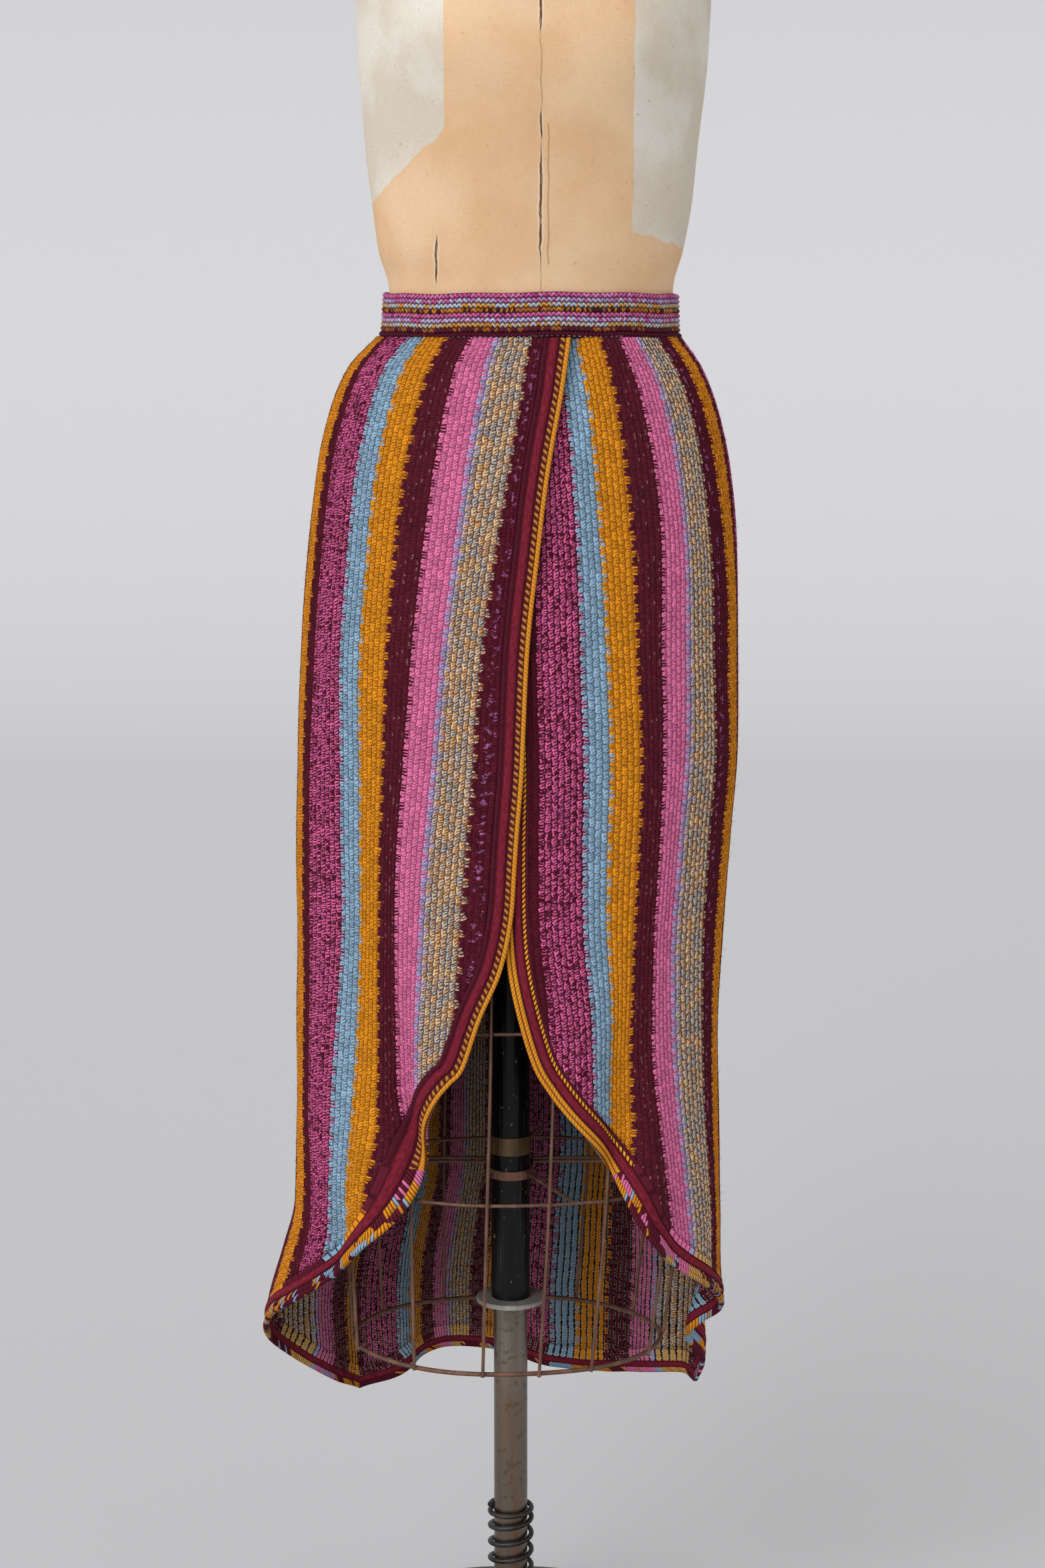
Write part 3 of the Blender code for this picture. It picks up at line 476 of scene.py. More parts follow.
# %% Cloth as a closed thin shell
def wall_mesh(name, outer, inner, knit):
    """A closed wall from two grids of points, column by row. Each point carries its place in the knitting."""
    columns, rows = outer.shape[:2]
    index = np.arange(columns * rows).reshape(columns, rows)
    a, b, c, d = index[:-1, :-1], index[:-1, 1:], index[1:, 1:], index[1:, :-1]
    face = np.stack((a, b, c, d), -1).reshape(-1, 4)
    reverse = np.stack((a, d, c, b), -1).reshape(-1, 4) + columns * rows
    loop = np.concatenate((index[0, :], index[1:, -1], index[-1, -2::-1], index[-2:0:-1, 0]))
    after = np.roll(loop, -1)
    rim = np.stack((after, loop, loop + columns * rows, after + columns * rows), -1)
    flags = np.concatenate((knit, knit)).reshape(2, -1, 3)
    flags[1, :, 2] = 1.0
    print(name, "has", round(sum_area(outer), 3), "square metres of cloth")
    return new_piece(name, np.stack((outer, inner)), np.concatenate((face, reverse, rim)), knit=flags)


def sum_area(grid):
    """The area of a grid of points, in square metres."""
    one = np.cross(grid[1:, :-1] - grid[:-1, :-1], grid[:-1, 1:] - grid[:-1, :-1])
    two = np.cross(grid[1:, :-1] - grid[1:, 1:], grid[:-1, 1:] - grid[1:, 1:])
    return (np.linalg.norm(one, axis=-1).sum() + np.linalg.norm(two, axis=-1).sum()) / 2


# %% Small unevenness of a worn knit
def wander(angle, height):
    """A slow, uneven swell of the cloth, under a millimetre, that no two places share."""
    turn = np.radians(angle)
    waves = ((3, 21.0, 0.4), (7, -13.0, 1.9), (11, 34.0, 4.1), (17, 9.0, 2.6), (5, 47.0, 5.3))
    return 0.00022 * sum(np.sin(n * turn + k * height + phase) for n, k, phase in waves)


# %% Lay out one panel
GROOVE = 0.0009           # depth of the groove between two columns of stitches


def knit_panel(name, columns, angle_at, ends, under, rows=108):
    """A panel of knitting, with a line of points for each quarter column."""
    share = np.linspace(0.0, 1.0, rows)[None, :]
    heights = WAIST_BOTTOM + (ends[:, None] - WAIST_BOTTOM) * share
    angles = angle_at(columns[:, None], heights)
    groove = np.exp(-(((columns + 0.5) % 1.0 - 0.5) / 0.17) ** 2)[:, None]
    swell = wander(angles, heights)
    outer = cloth_point(angles, heights, swell - GROOVE * groove, under)
    inner = cloth_point(angles, heights, swell - WALL + 0.4 * GROOVE * groove, under)
    lengths = np.linalg.norm(np.diff(outer, axis=1), axis=-1)
    down = np.concatenate((np.zeros((len(columns), 1)), np.cumsum(lengths, axis=1)), axis=1) / ROW_PITCH
    knit = np.stack((np.broadcast_to(columns[:, None], down.shape), down, 0 * down), -1)
    return wall_mesh(name, outer, inner, knit)


def quarter_columns(first, last):
    """Quarter steps from one column to another."""
    return np.linspace(first, last, round(abs(last - first) * 4) + 1)


over_columns = quarter_columns(-34.0, 37.0)
under_columns = quarter_columns(-1.5, 65.0)
back_columns = quarter_columns(82.0, -1.5)
over_ends = column_end(over_angle, over_lines[1], over_columns, 1)
under_ends = column_end(under_angle, under_lines[1], under_columns, -1)
back_ends = column_end(back_angle, back_lines[1], back_columns, 0)
right_knit = knit_panel("front_right_knit", over_columns, over_angle, over_ends, False)
left_knit = knit_panel("front_left_knit", under_columns, under_angle, under_ends, True)
back_knit = knit_panel("back_knit", back_columns, back_angle, back_ends, False)

# %% [markdown]
# ## A short way to write finishes
# Each finish is a tree of shader nodes. Written node by node it would be long and hard to read, so a
# small class lets a value in the tree be used in a sum like a number, and one method adds any other
# node.

# %% Values and nodes of a finish
class Signal:
    """A value in a finish. A sum written with it adds a Math node."""

    def __init__(self, finish, socket):
        self.finish = finish
        self.socket = socket

    def __add__(self, other):
        return self.finish.maths("ADD", self, other)

    def __sub__(self, other):
        return self.finish.maths("SUBTRACT", self, other)

    def __rsub__(self, other):
        return self.finish.maths("SUBTRACT", other, self)

    def __mul__(self, other):
        return self.finish.maths("MULTIPLY", self, other)

    def __truediv__(self, other):
        return self.finish.maths("DIVIDE", self, other)

    def __mod__(self, other):
        return self.finish.maths("FLOORED_MODULO", self, other)

    def __lt__(self, other):
        return self.finish.maths("LESS_THAN", self, other)

    def __gt__(self, other):
        return self.finish.maths("GREATER_THAN", self, other)

    def __abs__(self):
        return self.finish.maths("ABSOLUTE", self)

    __radd__ = __add__
    __rmul__ = __mul__


def tint(code):
    """A colour as the shader wants it, from its red, green and blue as written for a screen."""
    parts = [int(code[i:i + 2], 16) / 255 for i in (0, 2, 4)]
    return (*[p / 12.92 if p <= 0.04045 else ((p + 0.055) / 1.055) ** 2.4 for p in parts], 1.0)


class Finish:
    """A material with one main shader, and the methods that add nodes to it."""

    def __init__(self, name, **uniform):
        self.material = bpy.data.materials.new(name)
        self.material.use_nodes = True
        self.tree = self.material.node_tree
        self.shader = self.tree.nodes["Principled BSDF"]
        for title, value in uniform.items():
            self.shader.inputs[title.replace("_", " ")].default_value = value

    def join(self, value, socket):
        if isinstance(value, Signal):
            self.tree.links.new(value.socket, socket)
        else:
            socket.default_value = tint(value) if isinstance(value, str) else value

    def node(self, kind, settings=None, sockets=None, output=0):
        made = self.tree.nodes.new("ShaderNode" + kind)
        for title, value in (settings or {}).items():
            if title == "stops":
                self.fill(made.color_ramp, value)
            else:
                setattr(made, title, value)
        for title, value in (sockets or {}).items():
            self.join(value, made.inputs[title])
        return Signal(self, made.outputs[output])

    def fill(self, ramp_of, stops):
        while len(ramp_of.elements) < len(stops):
            ramp_of.elements.new(1.0)
        for element, (position, colour) in zip(ramp_of.elements, stops):
            element.position = position
            element.color = tint(colour) if isinstance(colour, str) else colour

    def maths(self, operation, *values):
        return self.node("Math", {"operation": operation}, dict(enumerate(values)))

    def floor(self, value):
        return self.maths("FLOOR", value)

    def fract(self, value):
        return self.maths("FRACT", value)

    def mix(self, share, one, two, blend="MIX"):
        return self.node("Mix", {"data_type": "RGBA", "blend_type": blend}, {0: share, 6: one, 7: two}, 2)

    def rise(self, value, start, end):
        """0 below the start, 1 past the end, and a smooth rise between them."""
        return self.node("MapRange", {"interpolation_type": "SMOOTHSTEP"}, {0: value, 1: start, 2: end})

    def split(self, vector):
        parts = self.node("SeparateXYZ", None, {0: vector})
        return [Signal(self, parts.socket.node.outputs[i]) for i in range(3)]

    def join_xyz(self, x, y, z=0.0):
        return self.node("CombineXYZ", None, {0: x, 1: y, 2: z})

    def steps(self, value, stops):
        """A colour for each stretch of a value, with no blend between them."""
        made = self.node("ValToRGB", {"stops": stops}, {0: value})
        made.socket.node.color_ramp.interpolation = "CONSTANT"
        return made

    def noise(self, place, scale, detail=2.0):
        return self.node("TexNoise", None, {"Vector": place, "Scale": scale, "Detail": detail})

    def grain(self, x, y, z, detail=2.0):
        """Noise at a place whose three sides have their own scales."""
        return self.noise(self.join_xyz(x, y, z), 1.0, detail)

    def chance(self, x, y, z=0.0):
        return self.node("TexWhiteNoise", {"noise_dimensions": "3D"}, {"Vector": self.join_xyz(x, y, z)})

    def object_place(self):
        return self.node("TexCoord", None, None, 3)

    def attribute(self, name):
        return self.node("Attribute", {"attribute_name": name}, None, 1)

    def colour(self, value):
        self.join(value, self.shader.inputs["Base Color"])

    def relief(self, height, depth, strength=1.0, first=None):
        sockets = {"Height": height, "Distance": depth, "Strength": strength}
        if first is not None:
            sockets["Normal"] = first
        bump = self.node("Bump", None, sockets)
        self.join(bump, self.shader.inputs["Normal"])
        return bump


# %% [markdown]
# ## The knit
# The fabric is a dense, hand-framed knit: bricks of yarn, each about 4.6 mm wide and 7.5 mm tall, in
# columns that sit half a brick apart. Dark outlines show between them and step from side to side. Where
# two stripes meet, short teeth of each colour reach into the other. All of it could be modelled, but
# there are tens of thousands of stitches, so the finish draws them from each point's column and stitch,
# with colour, shade and relief together.

# %% Colours of the stripes
# The column where a stripe starts, the colour of its stitches, and the colour of the lines between them
STRIPE_COLOURS = (
    (0, "561428", "3A0C1C"),      # burgundy under magenta hooks
    (7, "8AA8C0", "222E44"),      # light blue
    (11, "D98A1C", "7A3A08"),     # orange
    (16, "5C1A2A", "400E1E"),     # burgundy
    (21, "D8709C", "842A58"),     # pink
    (26, "A498C0", "4B3866"),     # one column of violet
    (27, "C89A58", "2C3650"),     # mixed tan, blue and orange
    (33, "5A1628", "3C0C1C"),     # burgundy
    (39, "D0811A", "6E3206"),     # orange
    (44, "561424", "3A0C1A"),     # burgundy
)
MAGENTA, FLECK = "CC5C8E", "A8689C"
CREAM, PALE_BLUE, AMBER, TAN = "E2D0B2", "A4B6CA", "D68E3C", "C0A078"


def stripe_colours(finish, column, which):
    """The colour of a stripe's stitches, or of the lines between them, at a column."""
    stops = [(row[0] / REPEAT, row[which]) for row in STRIPE_COLOURS]
    return finish.steps(finish.fract(column / REPEAT), stops)


# %% Lines and yarns of a stitch
def between(value, low, high):
    """1 between two values."""
    return (value > low) * (value < high)


def near(value, place, half):
    """1 at a place, falling softly to 0 at a distance from it."""
    return 1.0 - value.finish.rise(abs(value - place), half * 0.35, half)


def inward(share):
    """How far a share is from both its ends: 0 at 0 and 1, and a half in the middle."""
    return 0.5 - abs(share - 0.5)


def stitch_parts(finish, column, row, luck):
    """The lines round a stitch, its spine, and the slanting turns of yarn that leave the spine."""
    x = finish.fract(column)
    y = finish.fract(row)
    turns = y * 3.0 + (x - 0.3) * 1.1 + luck * 1.6
    third = inward(finish.fract(turns))
    upright = 1.0 - finish.rise(inward(x), 0.0, 0.11)
    level = (1.0 - finish.rise(inward(y), 0.0, 0.07)) * 0.85
    number = finish.floor(turns + 0.5)
    deep = finish.chance(finish.floor(column), number, finish.floor(row))
    gaps = (1.0 - finish.rise(third, 0.0, 0.22)) * finish.rise(x, 0.26, 0.62) * (0.06 + 0.62 * deep)
    lines = finish.maths("MAXIMUM", upright, finish.maths("MAXIMUM", level, gaps))
    spine = near(x, 0.28, 0.2) * finish.rise(inward(y), 0.04, 0.16)
    prongs = finish.rise(third, 0.06, 0.3) * finish.rise(x, 0.26, 0.42)
    return lines, spine, prongs


def comb_reach(finish, column, stitch):
    """How far a stripe's last stitches reach across its border: three long prongs, then one short one."""
    row = stitch + ((column - 1.0) % 2.0) * 0.5
    y = finish.fract(row)
    long = (finish.floor(row) % 2.0) < 0.5
    three = finish.rise(inward(finish.fract(y * 3.0)), 0.1, 0.26) * 0.85
    one = near(y, 0.5, 0.16) * 0.3
    return long * three + (1.0 - long) * one


# %% The knit's finish
def shaded(finish, colour, light):
    """A colour made lighter or darker by a value."""
    return finish.mix(1.0, colour, finish.join_xyz(light, light, light), "MULTIPLY")


def reverse_side(f, column, row, fill):
    """The reverse of the knit: a narrow rib for each column of stitches, with light dashes beside it."""
    number = f.floor(column)
    x = f.fract(column)
    side = inward(x)
    turn = row * 3.2 + f.chance(number, 5.0)
    luck = f.chance(number, f.floor(turn), 9.0)
    bead = near(f.fract(turn), 0.5, 0.4) * near(side, 0.16, 0.13) * f.rise(luck, 0.2, 0.4)
    # The reverse's yarn is painted darker towards near-black, as painted shade of the cloth's hollow inside,
    # and darker again towards the ends of each twist, as painted shade between the turns.
    twist = 0.72 + 0.28 * f.rise(inward(f.fract(turn + x)), 0.05, 0.3)
    yarn = shaded(f, f.mix(0.16, fill, "12060A"), twist)
    rib = f.mix(1.0 - f.rise(side, 0.1, 0.24), yarn, "12070A")
    return f.mix(bead * 0.75, rib, f.mix(0.45, fill, "E4D4C0"))


def knit_finish():
    """Stripes of brick stitches on the face, and narrow dark ribs on the reverse."""
    f = Finish("striped_knit", Roughness=0.95, Specular_IOR_Level=0.12)
    place = f.attribute("knit")
    column, stitch, reverse = f.split(place)
    slow = f.split(f.node("TexNoise", None, {"Vector": place, "Scale": 0.45, "Detail": 1.0}, 1))
    quick = f.split(f.node("TexNoise", None, {"Vector": place, "Scale": 3.3, "Detail": 2.0}, 1))
    stitch = stitch + (slow[1] - 0.5) * 0.8 + (quick[1] - 0.5) * 0.14
    sway = f.maths("SINE", stitch * 6.2832) * 0.07
    shifted = column + sway + (slow[0] - 0.5) * 0.36 + (quick[0] - 0.5) * 0.26
    which = f.floor(shifted)
    x = f.fract(shifted)
    row = stitch + (which % 2.0) * 0.5
    brick = f.floor(row)
    y = f.fract(row)
    luck = f.chance(which, brick)
    lines, spine, prongs = stitch_parts(f, shifted, row, luck)
    yarns = f.maths("MAXIMUM", spine, prongs)
    toothed = shifted - comb_reach(f, which, stitch) * (0.7 + 0.5 * luck)
    stripe = f.fract(toothed / REPEAT) * REPEAT
    fill = stripe_colours(f, toothed, 1)
    outline = stripe_colours(f, toothed, 2)
    ply = f.chance(which, brick, f.floor(y * 3.0) * 2.0 + (x > 0.42))
    strand = f.steps(ply * 0.6 + (x > 0.42) * 0.4, ((0.0, CREAM), (0.22, PALE_BLUE), (0.36, CREAM),
                                                    (0.52, TAN), (0.62, AMBER), (0.9, PALE_BLUE)))
    mixed = f.mix(yarns * 0.9, f.mix(luck > 0.5, "6A6878", "A06A38"), f.mix(0.45, strand, TAN))
    fill = f.mix(between(stripe, 27.0, 33.0), fill, mixed)
    hooks = (stripe < 7.0) * yarns * f.rise(ply, 0.05, 0.35)
    fill = f.mix(hooks * 0.95, fill, MAGENTA)
    blots = f.rise(f.grain(column * 0.7, stitch * 1.5, 4.0), 0.54, 0.6)
    fleck = near(stripe, 35.2, 0.7) * blots
    fill = f.mix(fleck * 0.9, fill, FLECK)
    burgundy = f.maths("MAXIMUM", between(stripe, 16.0, 21.0), stripe > 33.0)
    plain = burgundy * (1.0 - between(stripe, 39.0, 44.0))
    dots = between(stripe, 17.6, 20.7) * (ply > 0.86) * near(x, 0.62, 0.14)
    fibres = f.noise(f.object_place(), 1500.0, 3.0)
    face = f.mix(lines * (0.84 - 0.25 * plain) * (0.45 + 1.0 * fibres), fill, outline)
    face = f.mix(dots * 0.55, face, "B08A78")
    # The yarns' spine and prongs are painted lighter than the rest of the stitch, less so in the burgundy
    # stripes: a painted highlight. The brick's luck and the fibres add uneven tone.
    shade = (0.84 + 0.22 * yarns * (1.0 - 0.7 * plain)) * (0.84 + 0.32 * luck) * (0.38 + 1.24 * fibres)
    face = shaded(f, face, shade)
    f.colour(f.mix(reverse > 0.5, face, reverse_side(f, column + (slow[0] - 0.5) * 0.3, row, fill)))
    f.relief(0.9 * yarns + 0.5 * (1.0 - lines) + 0.5 * fibres, 0.0011, 0.9)
    return f.material


striped_knit = knit_finish()
for piece in (right_knit, left_knit, back_knit):
    piece.data.materials.append(striped_knit)
print("nodes in the knit's finish:", len(striped_knit.node_tree.nodes))

# %% [markdown]
# ## The bound edges
# The cut edges are bound: twisted cords at the free side, a smooth red roll, and a dark strip where the
# binding meets the knit. Lower down, slanting stitches in the stripes' colours lie on both sides of the
# roll. Each cord could be its own curve, but they lie packed in one strip, so the strip is drawn as one
# closed length whose outline has a rounded back for every cord, and the finish adds the twist.

# %% What lies across each bound edge
# From the free side: where a cord starts and ends, how far it stands out, and its kind
OVER_CORDS = (
    (0.0, 0.0044, 0.0017, "rope"),
    (0.0044, 0.0088, 0.0012, "blobs"),
    (0.0088, 0.0182, 0.0017, "roll"),
    (0.0182, 0.022, 0.0003, "strip"),
)
UNDER_CORDS = (
    (0.0, 0.004, 0.0016, "rope"),
    (0.004, 0.008, 0.0016, "rope"),
    (0.008, 0.0166, 0.0017, "roll"),
    (0.0166, 0.0192, 0.0009, "twist"),
    (0.0192, 0.022, 0.0003, "strip"),
)
HEM_CORDS = (
    (0.0, 0.0044, 0.0013, "stitches"),
    (0.0044, 0.009, 0.0013, "stitches"),
    (0.009, 0.0172, 0.0018, "roll"),
    (0.0172, 0.022, 0.0003, "columns"),
)


def outline_across(cords):
    """The points across a bound edge: a rounded back for every cord."""
    across, out = [], []
    for start, end, stands, kind in cords:
        for share in (0.0, 0.14, 0.32, 0.5, 0.68, 0.86):
            across.append(start + (end - start) * share)
            out.append(stands * math.sin(math.pi * share) ** 0.7)
    return np.array(across + [BAND]), np.array(out + [0.0])


def columns_beside(angle_at, columns, line):
    """The column of stitches that each point of a line lies beside."""
    angles = angle_at(columns[None, :], line[:, 1:2])
    rising = np.sign(angles[0, -1] - angles[0, 0])
    return np.array([np.interp(a * rising, row * rising, columns) for a, row in zip(line[:, 0], angles)])


# %% Build one bound edge
SLANT_START, SLANT_FULL = 0.535, 0.5  # heights between which the slanting stitches begin


def bound_edge(name, lines, cords, angle_at, columns, under):
    """A closed strip with a rounded back for every cord, and its place along and across at every point."""
    free, inner, stations = lines
    across, out = outline_across(cords)
    share = (across / BAND)[None, :, None]
    places = free[:, None, :] * (1 - share) + inner[:, None, :] * share
    face = cloth_point(places[..., 0], places[..., 1], np.broadcast_to(out, places.shape[:2]), under)
    back_share = np.linspace(1.0, 0.0, 7)[None, :, None]
    back_places = free[:, None, :] * (1 - back_share) + inner[:, None, :] * back_share
    back_out = -WALL - 0.0006 * np.sin(np.pi * np.linspace(0.0, 1.0, 7))
    back = cloth_point(back_places[..., 0], back_places[..., 1],
                       np.broadcast_to(back_out, back_places.shape[:2]), under)
    rings = np.concatenate((face, back), axis=1)
    count, around = rings.shape[:2]
    index = np.arange(count * around).reshape(count, around)
    quads = faces_between(index[:-1], index[1:]).tolist() + [index[0, ::-1].tolist(), index[-1].tolist()]
    ways = np.concatenate((across, BAND * back_share.ravel()))
    inside = np.concatenate((np.zeros(len(across)), np.ones(7)))
    edge = np.stack(np.broadcast_arrays(stations[:, None], ways[None, :], inside[None, :]), -1)
    beside = columns_beside(angle_at, columns, inner)
    slant = ramp(inner[:, 1], SLANT_START, SLANT_FULL)
    columns_here = np.stack(np.broadcast_arrays(beside[:, None], slant[:, None], 0 * ways[None, :]), -1)
    made = new_piece(name, rings, quads, edge=edge, beside=columns_here)
    edit = bmesh.new()
    edit.from_mesh(made.data)
    bmesh.ops.recalc_face_normals(edit, faces=edit.faces)
    edit.to_mesh(made.data)
    edit.free()
    return made


right_binding = bound_edge("front_right_binding", over_lines, OVER_CORDS, over_angle, over_columns, False)
left_binding = bound_edge("front_left_binding", under_lines, UNDER_CORDS, under_angle, under_columns, True)
hem_binding = bound_edge("back_hem_binding", back_lines, HEM_CORDS, back_angle, back_columns, False)

# %% The bound edges' finish
def cord_look(f, kind, along, across, start, end, beside, fibres):
    """The colour and the height of one kind of cord."""
    over = (across - start) / (end - start)
    if kind == "rope":
        twist = f.fract(along / 0.0034 + over * 0.9)
        groove = 1.0 - f.rise(inward(twist), 0.04, 0.26)
        margin = 1.0 - f.rise(inward(over), 0.04, 0.17)
        # The rope's grooves are painted a darker orange and its two sides near-black brown: painted shade in
        # the grooves and between the cords.
        colour = f.mix(groove * 0.42, "D48C2A", "96520F")
        return f.mix(margin * 0.85, colour, "3A1408"), 1.0 - 0.7 * groove
    if kind == "blobs":
        turn = f.fract(along / 0.0058 + over * 0.5 + (fibres - 0.5) * 0.2)
        spread_out = inward(turn) + 0.16 * (1.0 - over)
        blob = f.rise(spread_out, 0.26, 0.44) * f.rise(inward(over), 0.0, 0.14)
        return f.mix(blob * 0.9, "521A22", "C08234"), blob
    if kind == "twist":
        turn = f.fract(along / 0.0044 + over * 0.6)
        blob = f.rise(inward(turn), 0.1, 0.24)
        return f.mix(blob, "2A0A10", "DE9428"), blob
    if kind == "stitches":
        turn = along / 0.0033 + over * 1.9 + (fibres - 0.5) * 0.35
        number = f.floor(turn)
        split = f.fract(turn)
        blob = f.rise(inward(split), 0.08, 0.22)
        luck = f.chance(number, 2.0)
        run = f.chance(f.floor(number / 5.0), start * 900.0)
        yarn = stripe_colours(f, beside + (luck - 0.5) * 2.0 + (run - 0.5) * 9.0, 1)
        yarn = f.mix(luck > 0.94, yarn, "8AA8C0")
        yarn = f.mix(f.fract(luck * 7.0) > 0.88, yarn, "C47C2A")
        return f.mix(blob, f.mix(0.78, yarn, "22090F"), yarn), blob
    if kind == "columns":
        back = f.rise(inward(f.fract(beside)), 0.03, 0.18)
        return f.mix(back, stripe_colours(f, beside, 2), stripe_colours(f, beside, 1)), 0.4 * back
    if kind == "roll":
        rib = f.rise(inward(over), 0.0, 0.3)
        nap = f.rise(f.grain(along * 160.0, across * 900.0, 3.0, 3.0), 0.35, 0.7)
        # The roll's two sides are painted dark red: painted shade where the roll curves down between its
        # neighbours.
        colour = f.mix(rib, "3C0A16", f.mix(nap, "641626", "7E2434"))
        return colour, rib + 0.2 * nap
    return f.mix(f.rise(fibres, 0.3, 0.7), "3A0F1C", "561628"), 0.5 * f.rise(over, 0.0, 0.3)


def layer_cords(f, cords, along, across, beside, fibres):
    """All the cords of one table, side by side."""
    colour, height = None, None
    for start, end, stands, kind in cords:
        one_colour, one_height = cord_look(f, kind, along, across, start, end, beside, fibres)
        if colour is None:
            colour, height = one_colour, one_height
        else:
            past = across > start
            colour = f.mix(past, colour, one_colour)
            height = height * (1.0 - past) + one_height * past
    return colour, height


def binding_finish(name, cords):
    """Cords side by side, which give way to slanting stitches lower down, and a plain red inside."""
    f = Finish(name, Roughness=0.95, Specular_IOR_Level=0.12)
    along, across, inside = f.split(f.attribute("edge"))
    beside, slant = f.split(f.attribute("beside"))[:2]
    fibres = f.noise(f.object_place(), 1300.0)
    colour, height = layer_cords(f, cords, along, across, beside, fibres)
    if cords is not HEM_CORDS:
        lower_colour, lower_height = layer_cords(f, HEM_CORDS, along, across, beside, fibres)
        low = slant > 0.5
        colour = f.mix(low, colour, lower_colour)
        height = height * (1.0 - low) + lower_height * low
    reverse = reverse_side(f, beside, across / ROW_PITCH, stripe_colours(f, beside, 1))
    for start, end, kind in ((0.0048, 0.0112, "roll"), (0.0, 0.0048, "stitches")):
        under_cord = cord_look(f, kind, along, across, start, end, beside, fibres)[0]
        reverse = f.mix(across > end, under_cord, reverse)
    colour = f.mix(inside > 0.5, colour, reverse)
    f.colour(shaded(f, colour, 0.5 + 1.0 * fibres))
    f.relief(height + 0.35 * fibres, 0.0009, 0.9)
    return f.material


right_binding.data.materials.append(binding_finish("bound_edge_over", OVER_CORDS))
left_binding.data.materials.append(binding_finish("bound_edge_under", UNDER_CORDS))
hem_binding.data.materials.append(binding_finish("bound_edge_hem", HEM_CORDS))

# %% [markdown]
# ## The waistband
# The waistband is eight raised rows of chain stitches in mixed yarns over a rolled burgundy seam, with
# a line of white running stitches where it was last sewn down. It is one closed ring: its outline
# across is drawn once, with a rounded back for each row, and repeated round the waist. The chains
# themselves are the finish's work.

# %% Outline and ring of the waistband
CHAIN_PITCH = 0.0042      # width of one chain stitch
SEAM_ROLL = 0.0052        # height of the rolled seam below the rows
SEAM_DROP = 0.0012        # how far it hangs below the band


def waistband(around=640):
    """Raised rows all round, over a plain inside, with each point's place along, down and inside."""
    profile = []
    for i in range(5):
        share = i / 5
        stands = 0.0022 * math.sin(math.pi * share) + 0.0006
        profile.append((WAIST_BOTTOM - SEAM_DROP + SEAM_ROLL * share, stands, 0))
    first = WAIST_BOTTOM + SEAM_ROLL - SEAM_DROP
    tall = (WAIST_TOP - first) / WAIST_ROWS
    for i in range(WAIST_ROWS):
        for share in (0.0, 0.12, 0.3, 0.5, 0.7, 0.88):
            profile.append((first + (i + share) * tall, 0.0017 * math.sin(math.pi * share) ** 0.6, 0))
    profile += [(WAIST_TOP, 0.0, 0), (WAIST_TOP + 0.0004, -0.0012, 0)]
    profile += [(WAIST_TOP + (WAIST_BOTTOM - WAIST_TOP) * t, -WALL, 1) for t in np.linspace(0.01, 1.0, 7)]
    heights, out, inside = (np.array(column) for column in zip(*profile))
    angles = np.linspace(-180.0, 180.0, around, endpoint=False)[:, None]
    flare = 0.002 * (WAIST_TOP - heights) / (WAIST_TOP - WAIST_BOTTOM)
    settle = 0.0007 * np.sin(np.radians(angles) * 3 + 0.8) + 0.0004 * np.sin(np.radians(angles) * 11)
    places = oval(WAIST_SECTIONS, angles, heights[None, :] + settle, out[None, :] + flare)
    steps = np.linalg.norm(np.roll(places[:, 20], -1, 0) - places[:, 20], axis=-1)
    along = np.concatenate(([0.0], np.cumsum(steps))) * round(steps.sum() / CHAIN_PITCH) / steps.sum()
    index = np.arange(places.shape[0] * places.shape[1]).reshape(places.shape[:2])
    one, two = index, np.roll(index, -1, 0)
    quads = np.stack((one, two, np.roll(two, -1, 1), np.roll(one, -1, 1)), -1).reshape(-1, 4)
    down = (WAIST_TOP - heights) / tall
    turned = np.append(angles, 180.0)[:, None] + 1000.0 * inside[None, :]
    chain = np.stack(np.broadcast_arrays(along[:, None], down[None, :], turned), -1)
    one, two = chain[:-1], chain[1:]
    corners = np.stack((one, two, np.roll(two, -1, 1), np.roll(one, -1, 1)), 2)
    print("waistband:", round(steps.sum(), 3), "m round")
    return new_piece("waistband_knit", places, quads, domain="CORNER", chain=corners)


band = waistband()

# %% The waistband's finish
# Rows from the top down: first yarn, second yarn, third yarn, and how much of the first there is
WAIST_YARNS = (
    ("D0629A", "B04686", "DC8AB8", 0.6),
    ("B48CC0", "CC5E98", "C0C4E0", 0.45),
    ("CCA468", "BAC4D6", "DC9636", 0.4),
    ("A8682C", "4A2020", "D0882C", 0.45),
    ("D0629A", "A83C7C", "D884B2", 0.6),
    ("B8A8D4", "CC5E98", "C8CEE8", 0.45),
    ("CCA268", "C0C4CE", "CC8634", 0.4),
    ("5A1E2C", "A8642A", "6E2432", 0.5),
)


